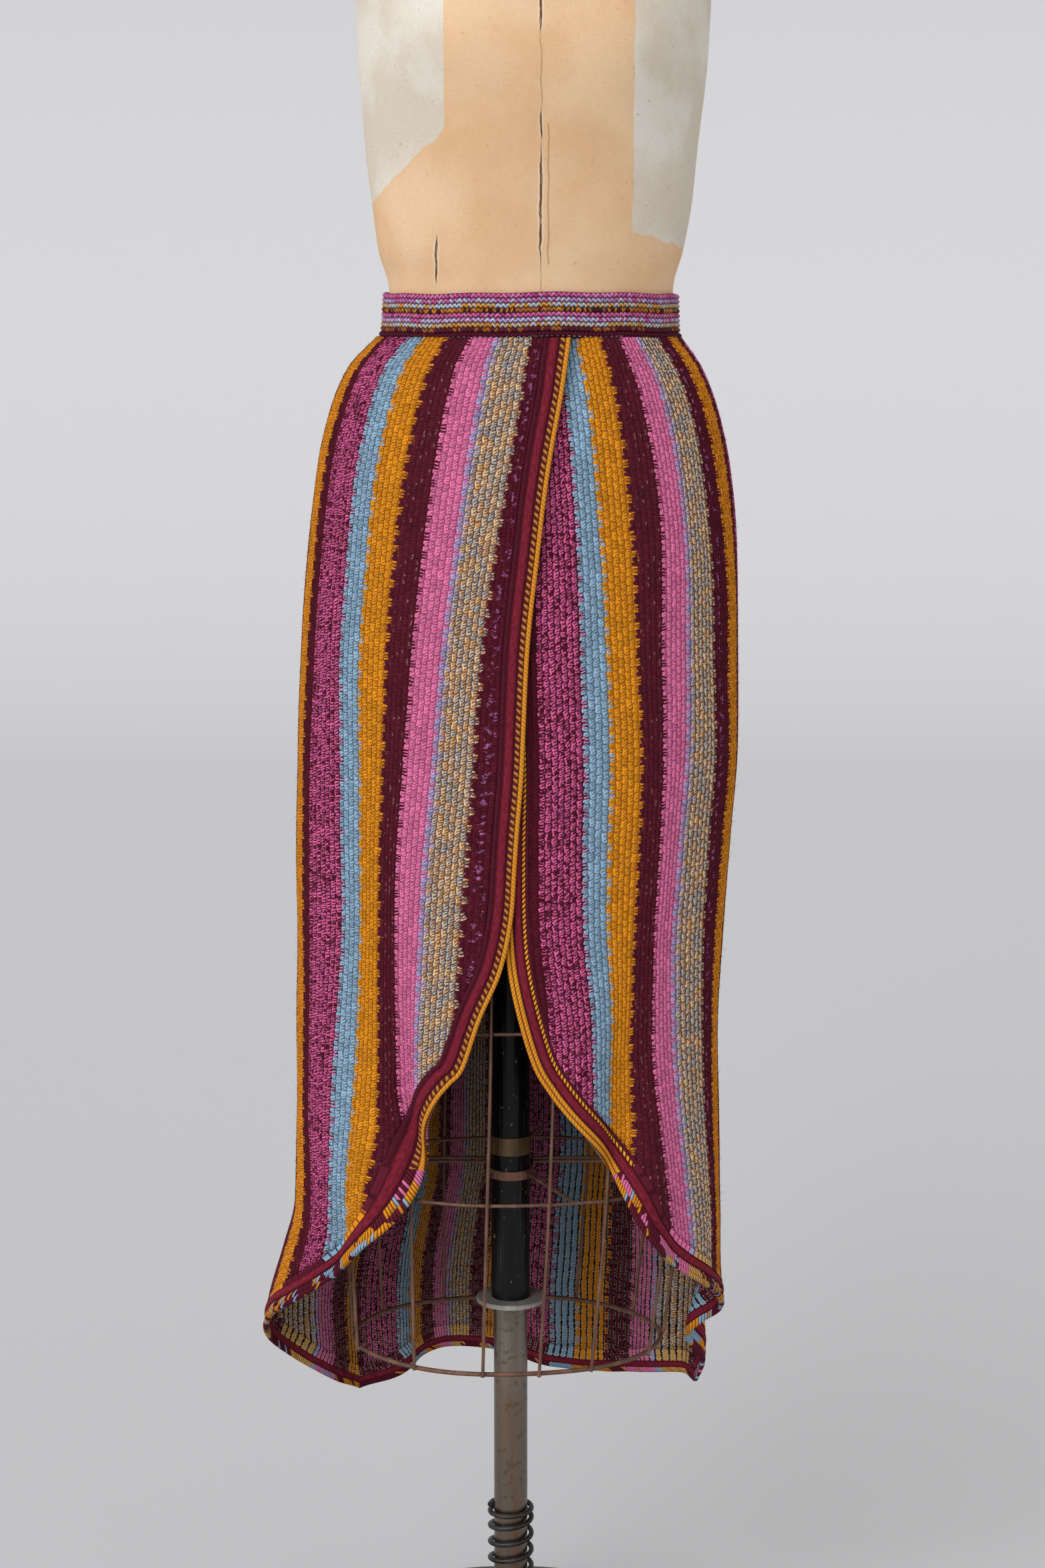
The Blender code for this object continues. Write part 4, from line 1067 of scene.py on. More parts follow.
def waistband_finish():
    """Rows of chain stitches in three yarns each, a burgundy seam and white running stitches."""
    f = Finish("waistband_chain", Roughness=0.95, Specular_IOR_Level=0.12)
    along, down, where = f.split(f.attribute("chain"))
    fibres = f.noise(f.object_place(), 1500.0, 3.0)
    loose = f.grain(along * 0.9, f.floor(down) * 3.0, 2.0) - 0.5
    turn = along + (fibres - 0.5) * 0.35 + loose * 0.7
    down = down - f.maths("COSINE", along * 6.2832) * 0.13 * (down < WAIST_ROWS - 0.2) + (fibres - 0.5) * 0.14
    row = f.floor(down)
    y = f.fract(down)
    number = f.floor(turn)
    x = abs(f.fract(turn) - 0.5)
    luck = f.chance(number, row, f.fract(turn) > 0.5)
    span = f.chance(f.floor(number / 4.0), row, 7.0)
    colours = []
    for which in (0, 1, 2):
        stops = [(i / WAIST_ROWS, yarns[which]) for i, yarns in enumerate(WAIST_YARNS)]
        colours.append(f.steps(down / WAIST_ROWS, stops))
    mostly = f.steps(down / WAIST_ROWS, [(i / WAIST_ROWS, (*[yarns[3]] * 3, 1.0))
                                         for i, yarns in enumerate(WAIST_YARNS)])
    pick = luck * 0.65 + span * 0.35
    yarn = f.mix(pick > mostly, colours[0], colours[1])
    yarn = f.mix(luck > 0.74, yarn, colours[2])
    arch = abs(y - 0.26 - x * 0.9 - loose * 0.35)
    loop = 1.0 - f.rise(arch, 0.14, 0.36)
    ditch = 1.0 - f.rise(inward(y), 0.0, 0.13)
    # Outside each loop the yarn is painted darker, and the ditches between rows near-black: painted shade in
    # the gaps between loops and between the raised rows.
    under = f.mix(0.66, yarn, "2A0A1A")
    chain = f.mix(ditch * 0.66, f.mix(loop, under, yarn), "240A16")
    seam = down > WAIST_ROWS
    # The rolled seam's turns are painted darker where they meet: painted shade in the grooves between turns.
    roll = f.mix(f.rise(abs(f.fract(along * 1.3 + y * 0.8) - 0.5), 0.3, 0.46),
                 "4E1226", "1E060E")
    stitched = between(where, -34.0, 37.0) * between(down, WAIST_ROWS + 0.86, WAIST_ROWS + 1.02)
    sewn = stitched * (f.fract(along * 0.92) < 0.3 + 0.3 * f.chance(f.floor(along * 0.92), 3.0))
    roll = f.mix(sewn, roll, "D8D2DA")
    colour = f.mix(seam, chain, roll)
    ribs = f.rise(abs(f.fract(along) - 0.5), 0.25, 0.42)
    colour = f.mix(where > 500.0, colour, f.mix(ribs, "6A2440", "1A080E"))
    f.colour(shaded(f, colour, 0.5 + 1.0 * fibres))
    f.relief(loop + 0.5 * (1.0 - ditch) + 0.4 * fibres, 0.001, 0.9)
    return f.material


band.data.materials.append(waistband_finish())

# %% [markdown]
# ## The canvas body
# The dress form's body is moulded board covered in peach-coloured canvas, seamed down the middle of the
# front. It is one smooth skin: a grid of 128 points by 170 is laid round the body's sections, a second grid
# 5 mm inside it makes the wall, and the seam and a small slit are pressed into it. It stays hollow, as the
# solid is. The open places in the seam are the finish's work.

# %% Sections of the body
# Height, centre_x, half_width, front_depth, back_depth
TORSO_SECTIONS = (
    (0.8093, 0.004, 0.169, 0.104, 0.122),
    (0.881, 0.0069, 0.178, 0.108, 0.131),
    (0.994, 0.0093, 0.1765, 0.1045, 0.131),
    (1.085, 0.0112, 0.1675, 0.099, 0.12),
    (1.154, 0.0126, 0.152, 0.092, 0.107),
    (1.188, 0.0134, 0.1385, 0.087, 0.097),
    (1.211, 0.0165, 0.12, 0.0845, 0.0885),
    (1.232, 0.0175, 0.119, 0.0846, 0.0886),
    (1.256, 0.0178, 0.1206, 0.0855, 0.0885),
    (1.284, 0.0174, 0.1286, 0.09, 0.091),
    (1.336, 0.0187, 0.1363, 0.0985, 0.0965),
    (1.391, 0.0185, 0.1418, 0.109, 0.1035),
    (1.446, 0.0193, 0.1467, 0.116, 0.108),
    (1.491, 0.0192, 0.1484, 0.113, 0.111),
    (1.54, 0.0165, 0.1505, 0.101, 0.112),
    (1.59, 0.013, 0.156, 0.086, 0.105),
    (1.628, 0.0095, 0.1585, 0.068, 0.088),
    (1.652, 0.0075, 0.138, 0.057, 0.074),
    (1.674, 0.006, 0.096, 0.052, 0.063),
    (1.692, 0.005, 0.067, 0.05, 0.057),
    (1.716, 0.0045, 0.0575, 0.0495, 0.053),
    (1.75, 0.0045, 0.056, 0.049, 0.051),
)
NECK_TOP = 1.75
SHELL = 0.005             # wall of the moulded body
ARM_CENTRE = 0.012        # middle between the two armholes
ARM_FLAT = 0.1485         # from there to an armhole's flat
FRONT_SEAM_X = 0.0254     # the seam down the middle of the front
SLIT_X, SLIT_LOW, SLIT_HIGH = -0.06, 1.256, 1.296


def bust(angle, height):
    """The two low mounds at the front of the body."""
    level = np.exp(-((height - 1.452) / 0.052) ** 2)
    return 0.01 * level * (bell(angle, -33.0, 20.0) + bell(angle, 33.0, 20.0))


# %% The skin of the body
def canvas_body(around=128, up=170):
    """The body's skin from its lower rim to the neck, with its inner wall, closed at both rims."""
    angles = np.linspace(0.0, 360.0, around, endpoint=False)[None, :]
    heights = np.linspace(TORSO_SECTIONS[0][0], NECK_TOP, up)[:, None]
    raised = bust(angles, heights)
    out = oval(TORSO_SECTIONS, angles, heights, raised)
    front = out[..., 1] < 0
    seam = np.exp(-((out[..., 0] - FRONT_SEAM_X) / 0.0011) ** 2)
    seam_lips = np.exp(-((np.abs(out[..., 0] - FRONT_SEAM_X) - 0.0034) / 0.0016) ** 2)
    pucker = 0.5 + 0.5 * np.sin(heights * 410.0)
    slit = np.exp(-((out[..., 0] - SLIT_X) / 0.0012) ** 2) * (heights > SLIT_LOW) * (heights < SLIT_HIGH)
    press = np.where(front, -0.0011 * seam + 0.0006 * seam_lips * pucker - 0.001 * slit, 0.0)
    slack = 0.0006 * np.sin(np.radians(angles) * 5 + heights * 21.0) * np.sin(heights * 47.0 + 0.6)
    out = oval(TORSO_SECTIONS, angles, heights, raised + press + slack)
    flat = np.abs(out[..., 0] - ARM_CENTRE) - ARM_FLAT
    outward = np.sign(out[..., 0] - ARM_CENTRE)
    out[..., 0] -= outward * np.maximum(flat, 0.0) * ((heights > 1.5) & (heights < 1.66))
    rings = [out, oval(TORSO_SECTIONS, angles, heights, -SHELL * np.ones_like(raised))[::-1]]
    skin = np.concatenate(rings)
    index = np.arange(skin.shape[0] * around).reshape(-1, around)
    return new_piece("canvas_body", skin, faces_between(index, np.roll(index, -1, 0)))


body = canvas_body()

# %% Openings in the canvas
def opening(f, across, z, low, high, half):
    """1 inside a torn slit that narrows to both ends, and a wider band of frayed threads round it."""
    middle = (low + high) / 2
    reach = abs(z - middle) / ((high - low) / 2)
    wide = half * (1.0 - f.rise(reach, 0.45, 1.0))
    off = abs(across)
    inside = (1.0 - f.rise(off / (wide + 0.00005), 0.6, 1.1)) * (reach < 1.0)
    frayed = (1.0 - f.rise(off / (wide * 2.6 + 0.0004), 0.5, 1.0)) * (reach < 1.08)
    return inside, frayed


# %% The canvas finish
def canvas_finish():
    """Plain-woven canvas, aged to tan, with worn pale patches at the sides and a stitched seam."""
    f = Finish("aged_canvas", Roughness=0.92, Specular_IOR_Level=0.2)
    place = f.object_place()
    x, y, z = f.split(place)
    blotch = f.noise(place, 14.0, 4.0)
    stain = f.rise(f.noise(place, 5.0, 3.0), 0.5, 0.72)
    colour = f.mix(f.rise(blotch, 0.35, 0.7), "E8C59F", "DFB68B")
    colour = f.mix(stain * 0.35, colour, "CDA272")
    around = f.maths("ARCTAN2", x - 0.018, y * -1.0) * 0.14
    ragged = (f.noise(place, 60.0, 4.0) - 0.5) * 0.012
    left_patch = f.rise(abs(x + 0.1616), 0.109, 0.1085) * (z + ragged - x * 0.9 > 1.428)
    right_patch = (x + ragged * 0.3 > 0.101) * (z + ragged + x * 0.3 > 1.33)
    patch = f.maths("MAXIMUM", left_patch, right_patch) * (abs(around) + ragged < 0.232)
    thread = 0.5 + 0.5 * f.maths("SINE", around * 3600.0 + (blotch - 0.5) * 6.0)
    bare = f.mix(f.rise(blotch, 0.4, 0.6), "EAE4DA", "DCD0C0")
    gauze = f.mix(thread * 0.5, bare, "C6B8A4")
    colour = f.mix(patch, colour, gauze)
    front = y < 0.0
    wander_x = (f.grain(x * 30.0, 0.0, z * 45.0) - 0.5) * 0.006
    worn = f.grain(x * 700.0, 0.0, z * 90.0, 3.0)
    across = x - FRONT_SEAM_X + wander_x
    stitched = (1.0 - f.rise(abs(across), 0.0003, 0.0009)) * front
    colour = f.mix(stitched * 0.45, colour, "8A6238")
    # A dark line is painted along a fold beside the seam: painted shade in the crease.
    fold = (1.0 - f.rise(abs(across - 0.0062), 0.0003, 0.0012)) * front
    colour = f.mix(fold * between(z, 1.272, 1.384) * 0.5, colour, "9A7044")
    openings = (
        (across, 1.266, 1.374, 0.0011), (across, 1.37, 1.398, 0.0009), (across, 1.452, 1.496, 0.0012),
        (x - SLIT_X + wander_x, SLIT_LOW - 0.002, SLIT_HIGH + 0.003, 0.0011),
    )
    gaps = 0.0
    for place_x, low, high, half in openings:
        inside, frayed = opening(f, place_x, z, low, high, half)
        colour = f.mix(frayed * front * (0.15 + 0.6 * worn), colour, "EFE0CA")
        # The slits' insides are painted dark brown: painted shade inside the openings.
        colour = f.mix(inside * front * f.rise(worn, 0.24, 0.5), colour, "6A4628")
        gaps = inside * front + gaps
    spots = f.rise(f.noise(place, 170.0, 2.0), 0.68, 0.76)
    colour = f.mix(spots * 0.3, colour, "A87848")
    slubs = f.grain(around * 900.0, 0.0, z * 110.0)
    slubs = slubs + f.grain(around * 110.0, 3.0, z * 900.0)
    weave = f.maths("SINE", around * 7400.0) * f.maths("SINE", z * 7400.0)
    f.colour(shaded(f, colour, 0.82 + 0.05 * weave + 0.17 * slubs))
    f.relief(patch * -0.6 + 0.25 * weave + 0.5 * slubs - gaps, 0.0005, 0.7)
    return f.material


body.data.materials.append(canvas_finish())

# %% [markdown]
# ## The wire cage
# Under the body a cage of rusty wires keeps the skirt's shape: three rings, twelve upright wires
# soldered outside them, and a cross of bars that holds the tube. A wire could be an extruded circle,
# but a path with a round bevel follows any bend, so each wire is a path through points from the cage's
# table, made a mesh at the end.

# %% A bent wire
def bent_wire(name, points, radius, closed=False, fine=2):
    """A round wire along a path of points, made a mesh."""
    bpy.ops.object.select_all(action="DESELECT")
    bpy.ops.curve.primitive_nurbs_path_add(location=(0, 0, 0))
    made = bpy.context.active_object
    made.name = name
    spline = made.data.splines[0]
    spline.points.add(len(points) - len(spline.points))
    for point, place in zip(spline.points, points):
        point.co = (*place, 1.0)
    spline.order_u = 3
    spline.use_endpoint_u = not closed
    spline.use_cyclic_u = closed
    made.data.resolution_u = fine
    made.data.bevel_depth = radius
    made.data.bevel_resolution = 3
    made.data.use_fill_caps = True
    bpy.ops.object.convert(target="MESH")
    return bpy.context.active_object


def joined(name, pieces):
    """Several pieces as one."""
    bpy.ops.object.select_all(action="DESELECT")
    for piece in pieces:
        piece.select_set(True)
    bpy.context.view_layer.objects.active = pieces[0]
    bpy.ops.object.join()
    made = bpy.context.active_object
    made.name = made.data.name = name
    print(name, sum(len(p.vertices) - 2 for p in made.data.polygons), "triangles")
    return made


# %% Rings and upright wires
# The cage's sections: height, centre_x, half_width, front_depth, back_depth
CAGE_SECTIONS = (
    (0.796, 0.008, 0.154, 0.1, 0.112),
    (0.63, 0.007, 0.153, 0.103, 0.113),
    (0.481, 0.003, 0.15, 0.108, 0.112),
    (0.33, -0.003, 0.137, 0.105, 0.105),
)
CAGE_ANGLES = (-70.0, -35.0, -8.5, 11.5, 31.5, 62.5, 95.0, 125.0, 153.0, -155.0, -125.0, -97.0)
WIRE, ROD = 0.0015, 0.002  # radius of the wires, and of the lowest ring
CAGE_TOP = 0.7967
RINGS = ((0.63, WIRE), (0.481, WIRE), (0.33, ROD))

turns = np.linspace(0.0, 360.0, 72, endpoint=False)
cage_parts = []
for height, radius in RINGS:
    uneven = height + 0.0005 * np.sin(np.radians(turns) * 5 + height * 40)
    cage_parts.append(bent_wire("cage_ring", oval(CAGE_SECTIONS, turns, uneven), radius, closed=True))
upright_heights = np.linspace(CAGE_TOP, RINGS[-1][0] - WIRE, 13)
for angle in CAGE_ANGLES:
    bend = 0.0004 * np.sin(upright_heights * 38 + angle)
    outside = ROD + WIRE - 0.0002 + bend * (np.abs((upright_heights - 0.33) % 0.15 - 0.075) < 0.05)
    path = oval(CAGE_SECTIONS, angle, upright_heights)
    path = path + oval_out(CAGE_SECTIONS, np.full(13, angle), upright_heights) * outside[:, None]
    cage_parts.append(bent_wire("cage_wire", path, WIRE))

# %% Cross bars and braces
CROSS = 0.481
cross_sizes = [float(smooth(CAGE_SECTIONS, CROSS, k)) for k in range(1, 5)]
cross_centre, cross_half, cross_front, cross_back = cross_sizes
for y in (0.03, 0.042):
    reach = cross_half * math.sqrt(1 - (y / cross_back) ** 2) - WIRE
    bar = [(cross_centre + reach * t, y, CROSS) for t in (-1.0, -0.5, 0.0, 0.5, 1.0)]
    cage_parts.append(bent_wire("cage_bar", bar, WIRE))
for side, foot in ((-1, -0.045), (1, 0.056)):
    start = Vector((side * 0.0162, -0.0123, CROSS))
    depth = cross_front * math.sqrt(1 - ((foot - cross_centre) / cross_half) ** 2)
    end = Vector((foot, WIRE - depth, CROSS))
    cage_parts.append(bent_wire("cage_brace", [start.lerp(end, t / 4) for t in range(5)], WIRE))

# %% Solder at the crossings
def solder(place, size, seed):
    """A small uneven lump of solder."""
    bpy.ops.object.select_all(action="DESELECT")
    bpy.ops.mesh.primitive_ico_sphere_add(subdivisions=2, radius=size, location=place)
    lump = bpy.context.active_object
    bpy.ops.object.mode_set(mode="EDIT")
    bpy.ops.mesh.select_all(action="SELECT")
    bpy.ops.transform.resize(value=(1.0, 1.0, 0.8), center_override=place)
    bpy.ops.transform.vertex_random(offset=size * 0.22, uniform=0.4, seed=seed)
    bpy.ops.object.mode_set(mode="OBJECT")
    bpy.ops.object.transform_apply(location=True, rotation=True, scale=True)
    lump.data.shade_smooth()
    return lump


for height, radius in RINGS:
    for number, angle in enumerate(CAGE_ANGLES):
        crossing = oval(CAGE_SECTIONS, angle, height, radius * 0.9)
        cage_parts.append(solder(tuple(float(v) for v in crossing), 0.0025, number))
cage = joined("wire_cage", cage_parts)

# %% [markdown]
# ## Spring and base
# A loose coil spring stands on the base, round the pole. Its path is a helix whose last turns close up.
# The base is cast iron: a wide disc that rises to a hub. It could be spun from an outline, but the same
# form comes from a disc that is extruded upwards and resized step by step, which keeps every ring of
# faces even.

# %% The coil spring
SPRING_RADIUS, SPRING_WIRE, SPRING_PITCH, SPRING_TURNS = 0.0187, 0.0023, 0.0154, 7.5
HUB_TOP = 0.07
PER_TURN = 36
coil = []
level = HUB_TOP + SPRING_WIRE + 0.0003
for i in range(int(SPRING_TURNS * PER_TURN) + 1):
    turn = math.tau * i / PER_TURN
    coil.append((SPRING_RADIUS * math.cos(turn), SPRING_RADIUS * math.sin(turn), level))
    from_top = SPRING_TURNS - i / PER_TURN
    open_part = ramp(1.4 - from_top, 0.4, 0.0) * ramp(0.9 - i / PER_TURN, 0.5, 0.0)
    level += SPRING_PITCH * (0.35 + 0.65 * float(open_part)) / PER_TURN
spring = bent_wire("coil_spring", coil, SPRING_WIRE, fine=1)
print("spring:", len(spring.data.polygons), "faces, up to", round(level, 4))


# %% A round piece raised from a disc
def raised_disc(name, outline, sides, centre=(0.0, 0.0)):
    """A round piece: a disc extruded and resized again and again along its outline of radius and height."""
    (radius, height), rest = outline[0], outline[1:]
    bpy.ops.object.select_all(action="DESELECT")
    bpy.ops.mesh.primitive_circle_add(vertices=sides, radius=radius, fill_type="NGON",
                                      location=(*centre, height))
    made = bpy.context.active_object
    made.name = made.data.name = name
    bpy.ops.object.mode_set(mode="EDIT")
    bpy.ops.mesh.select_mode(type="FACE")
    bpy.ops.mesh.select_all(action="SELECT")
    for next_radius, next_height in rest:
        bpy.ops.mesh.extrude_region_move(TRANSFORM_OT_translate={"value": (0, 0, next_height - height)})
        share = next_radius / radius
        bpy.ops.transform.resize(value=(share, share, 1.0), center_override=(*centre, next_height))
        radius, height = next_radius, next_height
    bpy.ops.mesh.select_all(action="SELECT")
    bpy.ops.mesh.normals_make_consistent(inside=False)
    bpy.ops.object.mode_set(mode="OBJECT")
    bpy.ops.object.transform_apply(location=True, rotation=True, scale=True)
    bpy.ops.object.shade_smooth_by_angle(angle=math.radians(35))
    print(name, len(made.data.polygons), "faces")
    return made


# %% The base
# Radius and height in millimetres, from the rim on the floor to the bore
BASE_OUTLINE = [(r / 1000, z / 1000) for r, z in (
    (221.5, 0), (223, 1.5), (223, 8.5), (222.2, 11), (220, 13.5), (217, 15.8), (214, 17.2), (211, 17.6),
    (209.5, 19), (207.5, 20.8), (205, 21.4), (180, 23.8), (150, 26.6), (120, 29.2), (100, 31),
    (80, 33.2), (60, 36), (48, 38.3), (41, 41.2), (36, 45.2), (33.2, 50), (31.8, 56), (30.8, 62),
    (30, 66), (28.5, 68.8), (26, 70), (15.6, 70), (15.6, 12),
)]
base = raised_disc("cast_base", BASE_OUTLINE, 144)

# %% The neck cap
CAP_CENTRE = (0.0045, 0.001)
CAP_FOOT = 1.7503
CAP_OUTLINE = [(r / 1000, CAP_FOOT + z / 1000) for r, z in (
    (48, 0), (49, 1), (49, 4), (48.4, 5.6), (47, 7.2), (44, 8.6), (40, 9.6), (38, 9.8), (37.4, 11.2),
    (35, 12.2), (30, 13.2), (20, 14.6), (12, 15.6), (7.8, 17.2), (6.2, 19.5), (6.1, 22), (7, 24.2),
    (8.8, 25.8), (10.3, 27.8), (11.1, 30.3), (11, 33), (10, 35.8), (8.2, 38), (5.8, 39.2), (3, 39.8),
)]
cap = raised_disc("turned_neck_cap", CAP_OUTLINE, 64, CAP_CENTRE)

# %% The arm plates
ARM_BACK, ARM_HEIGHT = 0.004, 1.578  # the middle of an armhole


def arm_plate(name, side):
    """An oval plate with a rounded rim and a low rise, which closes an armhole."""
    reach = ARM_CENTRE + side * (ARM_FLAT + 0.0003)
    bpy.ops.object.select_all(action="DESELECT")
    bpy.ops.mesh.primitive_circle_add(vertices=72, radius=1.0, fill_type="NGON",
                                      location=(reach, ARM_BACK, ARM_HEIGHT), rotation=(0, math.pi / 2, 0))
    made = bpy.context.active_object
    made.name = made.data.name = name
    made.scale = (0.052, 0.036, 1.0)
    bpy.ops.object.transform_apply(location=True, rotation=True, scale=True)
    bpy.ops.object.mode_set(mode="EDIT")
    bpy.ops.mesh.select_mode(type="FACE")
    bpy.ops.mesh.select_all(action="SELECT")
    for out, share in ((0.005, 1.0), (0.0018, 0.985), (0.0009, 0.955), (0.0003, 0.91), (-0.0012, 0.97),
                       (0.0004, 0.8), (0.0004, 0.62), (0.0001, 0.5)):
        bpy.ops.mesh.extrude_region_move(TRANSFORM_OT_translate={"value": (side * out, 0, 0)})
        reach += side * out
        bpy.ops.transform.resize(value=(1.0, share, share), center_override=(reach, ARM_BACK, ARM_HEIGHT))
    bpy.ops.mesh.select_all(action="SELECT")
    bpy.ops.mesh.normals_make_consistent(inside=False)
    bpy.ops.object.mode_set(mode="OBJECT")
    bpy.ops.object.shade_smooth_by_angle(angle=math.radians(35))
    return made


plates = [arm_plate("arm_cover_right", -1), arm_plate("arm_cover_left", 1)]
print("arm plates reach", [round(max(abs(v.co.x) for v in plate.data.vertices), 4) for plate in plates])

# %% [markdown]
# ## Metal and wood
# The cage is rusted, the pole is steel worn bright in streaks, the tube has scuffed black paint, and
# the base is cast iron under old paint. A flat colour would look new, so each finish mixes two or three
# colours by noise that is stretched along the piece, and the same noise changes the gloss.

# %% Metal finishes
def metal_finish(name, colours, metallic, gloss, streaks=(60.0, 60.0, 12.0), spots=420.0, spot_share=0.5,
                 rusty_below=None):
    """An old metal: a main colour, a second in streaks and a third in spots, with uneven gloss."""
    f = Finish(name, Metallic=metallic)
    x, y, z = f.split(f.object_place())
    streak = f.grain(x * streaks[0], y * streaks[1], z * streaks[2], 4.0)
    spot = f.noise(f.object_place(), spots, 3.0)
    main, second, third = colours
    worn = f.rise(streak, 0.42, 0.66)
    pitted = f.rise(spot, 0.56, 0.7) * spot_share
    colour = f.mix(pitted, f.mix(worn, main, second), third)
    if rusty_below is not None:
        low = f.rise(rusty_below - z + (spot - 0.5) * 0.05, 0.0, 0.1)
        colour = f.mix(low * (0.1 + 0.5 * worn), colour, "705038")
    f.colour(colour)
    f.join(gloss[0] + (gloss[1] - gloss[0]) * worn + 0.15 * pitted, f.shader.inputs["Roughness"])
    f.relief(spot - 0.4 * pitted, 0.0002, 0.35)
    return f.material


rust = metal_finish("rusty_wire", ("5E4234", "7A5644", "3A2A24"), 0.35, (0.55, 0.72), (90.0, 90.0, 40.0),
                    spots=900.0)
steel = metal_finish("worn_steel", ("756D63", "857D73", "4E3A2C"), 1.0, (0.34, 0.44), (90.0, 90.0, 7.0),
                     spots=170.0, rusty_below=0.34)
dull = metal_finish("dull_disc", ("8E8B86", "A29F9A", "6A6460"), 0.5, (0.5, 0.62), spots=500.0,
                    spot_share=0.4)
brass = metal_finish("dark_brass", ("5A4630", "7A6042", "32261C"), 0.7, (0.42, 0.6))
coil_black = metal_finish("black_coil", ("1C1B1B", "36322E", "5A4438"), 0.4, (0.38, 0.55), spot_share=0.35)
iron = metal_finish("painted_iron", ("1B1A1A", "262423", "4E3A2E"), 0.2, (0.5, 0.58), (40.0, 40.0, 40.0),
                    spots=300.0, spot_share=0.3)


# %% The black tube's scuffed paint
def tube_finish():
    """Black paint with fine upright scuffs and a few bare chips."""
    f = Finish("black_tube", Specular_IOR_Level=0.22)
    x, y, z = f.split(f.object_place())
    scuff = f.rise(f.grain(x * 420.0, y * 420.0, z * 16.0, 4.0), 0.58, 0.72)
    chip = f.rise(f.noise(f.object_place(), 150.0, 4.0), 0.68, 0.71)
    f.colour(f.mix(chip, f.mix(scuff * 0.16, "090A0B", "6A665F"), "6E5A48"))
    f.join(0.3 + 0.25 * scuff + 0.2 * chip, f.shader.inputs["Roughness"])
    f.relief(1.0 - chip - 0.3 * scuff, 0.0003, 0.4)
    return f.material


# %% Turned wood and board
def wood_finish(name, light, dark, centre, rings):
    """Wood grain: rings about an upright line, drawn out along it, under old varnish."""
    f = Finish(name, Roughness=0.42, Specular_IOR_Level=0.4)
    x, y, z = f.split(f.object_place())
    x = x - centre[0]
    y = y - centre[1] + 0.03
    waver = f.grain(x * 30.0, y * 30.0, z * 8.0, 3.0)
    distance = f.maths("SQRT", x * x + y * y)
    ring = 0.5 + 0.5 * f.maths("SINE", distance * rings + waver * 14.0)
    pore = f.rise(f.grain(x * 900.0, y * 900.0, z * 60.0), 0.58, 0.7)
    f.colour(f.mix(pore * 0.5, f.mix(ring * 0.8, light, dark), "1E120A"))
    f.relief(ring * 0.3 - pore, 0.0002, 0.4)
    return f.material


wood = wood_finish("turned_wood", "6B4428", "4A2C18", CAP_CENTRE, 2600.0)
board_wood = wood_finish("board_wood", "8A6A48", "6A4C30", (0.0, 0.0), 900.0)

FINISHES = (
    ((cage, nodes["cage_strap"]), rust), ((spring,), coil_black), ((base,), iron), ((cap,), wood),
    ((nodes["bottom_board"],), board_wood), ((nodes["pole"],), steel), ((nodes["collar"],), dull),
    ((nodes["tube_ferrule"],), brass), ((nodes["inner_tube"],), tube_finish()),
    (tuple(plates), body.data.materials[0]),
)
for pieces, finish in FINISHES:
    for piece in pieces:
        piece.data.materials.clear()
        piece.data.materials.append(finish)
print("finishes on metal, wood and board:", len(FINISHES))

# %% [markdown]
# ## Loose fibres
# A worn wool knit is hairy: short fibres stand out of it and soften its outline against the light.
# Blender has a hair system, but an exported part needs real faces, so each fibre is a thin three-sided
# thread, set on a point of the cloth with that point's place in the knitting, so that it takes the
# colour of its stitch.

# %% Fibres on a panel
def fibres_on(name, panel, count, seed):
    """Short curved threads that stand out of a panel's face."""
    chosen = np.random.default_rng(seed)
    mesh = panel.data
    total = len(mesh.vertices)
    places, normals, knit = np.empty(total * 3), np.empty(total * 3), np.empty(total * 3)
    mesh.vertices.foreach_get("co", places)
    mesh.vertex_normals.foreach_get("vector", normals)
    mesh.attributes["knit"].data.foreach_get("vector", knit)
    pick = chosen.integers(0, total // 2, count)
    root, up, knit = (grid.reshape(-1, 3)[pick] for grid in (places, normals, knit))
    across = unit(np.cross(up, chosen.normal(size=(count, 3))))
    aside = unit(np.cross(up, across))
    length = chosen.uniform(0.0022, 0.0058, (count, 1))
    curl = chosen.normal(0.0, 0.35, (count, 1))
    t = np.linspace(0.0, 1.0, 4)
    path = []
    for s in t:
        lean = s * across * 0.75 + (s - 0.45 * s * s) * up * 0.75 + curl * s * s * aside
        path.append(root - 0.0004 * up + length * lean)
    radius = 0.00011 * np.array((1.0, 0.95, 0.8, 0.35))
    ring = [(math.cos(math.tau * k / 3), math.sin(math.tau * k / 3)) for k in range(3)]
    points = np.stack([p + radius[i] * (c * aside + w * up) for i, p in enumerate(path) for c, w in ring], 1)
    index = np.arange(count * 12).reshape(count, 4, 3)
    faces = faces_between(index[:, :-1], index[:, 1:]).tolist()
    faces += index[:, 0, ::-1].tolist() + index[:, 3].tolist()
    made = new_piece(name, points, faces, smooth=False, knit=np.repeat(knit, 12, axis=0))
    made.data.materials.append(striped_knit)
    return made


fuzz = [fibres_on("right_fibres", right_knit, 2600, 3), fibres_on("left_fibres", left_knit, 2200, 5),
        fibres_on("back_fibres", back_knit, 2600, 7)]


# %% [markdown]
# ## The studio
# The object stands on a pale paper floor that curves up behind it. Two very wide lamps light it softly
# from the front, the stronger one from the left, and the pale air of the room fills the shadows.

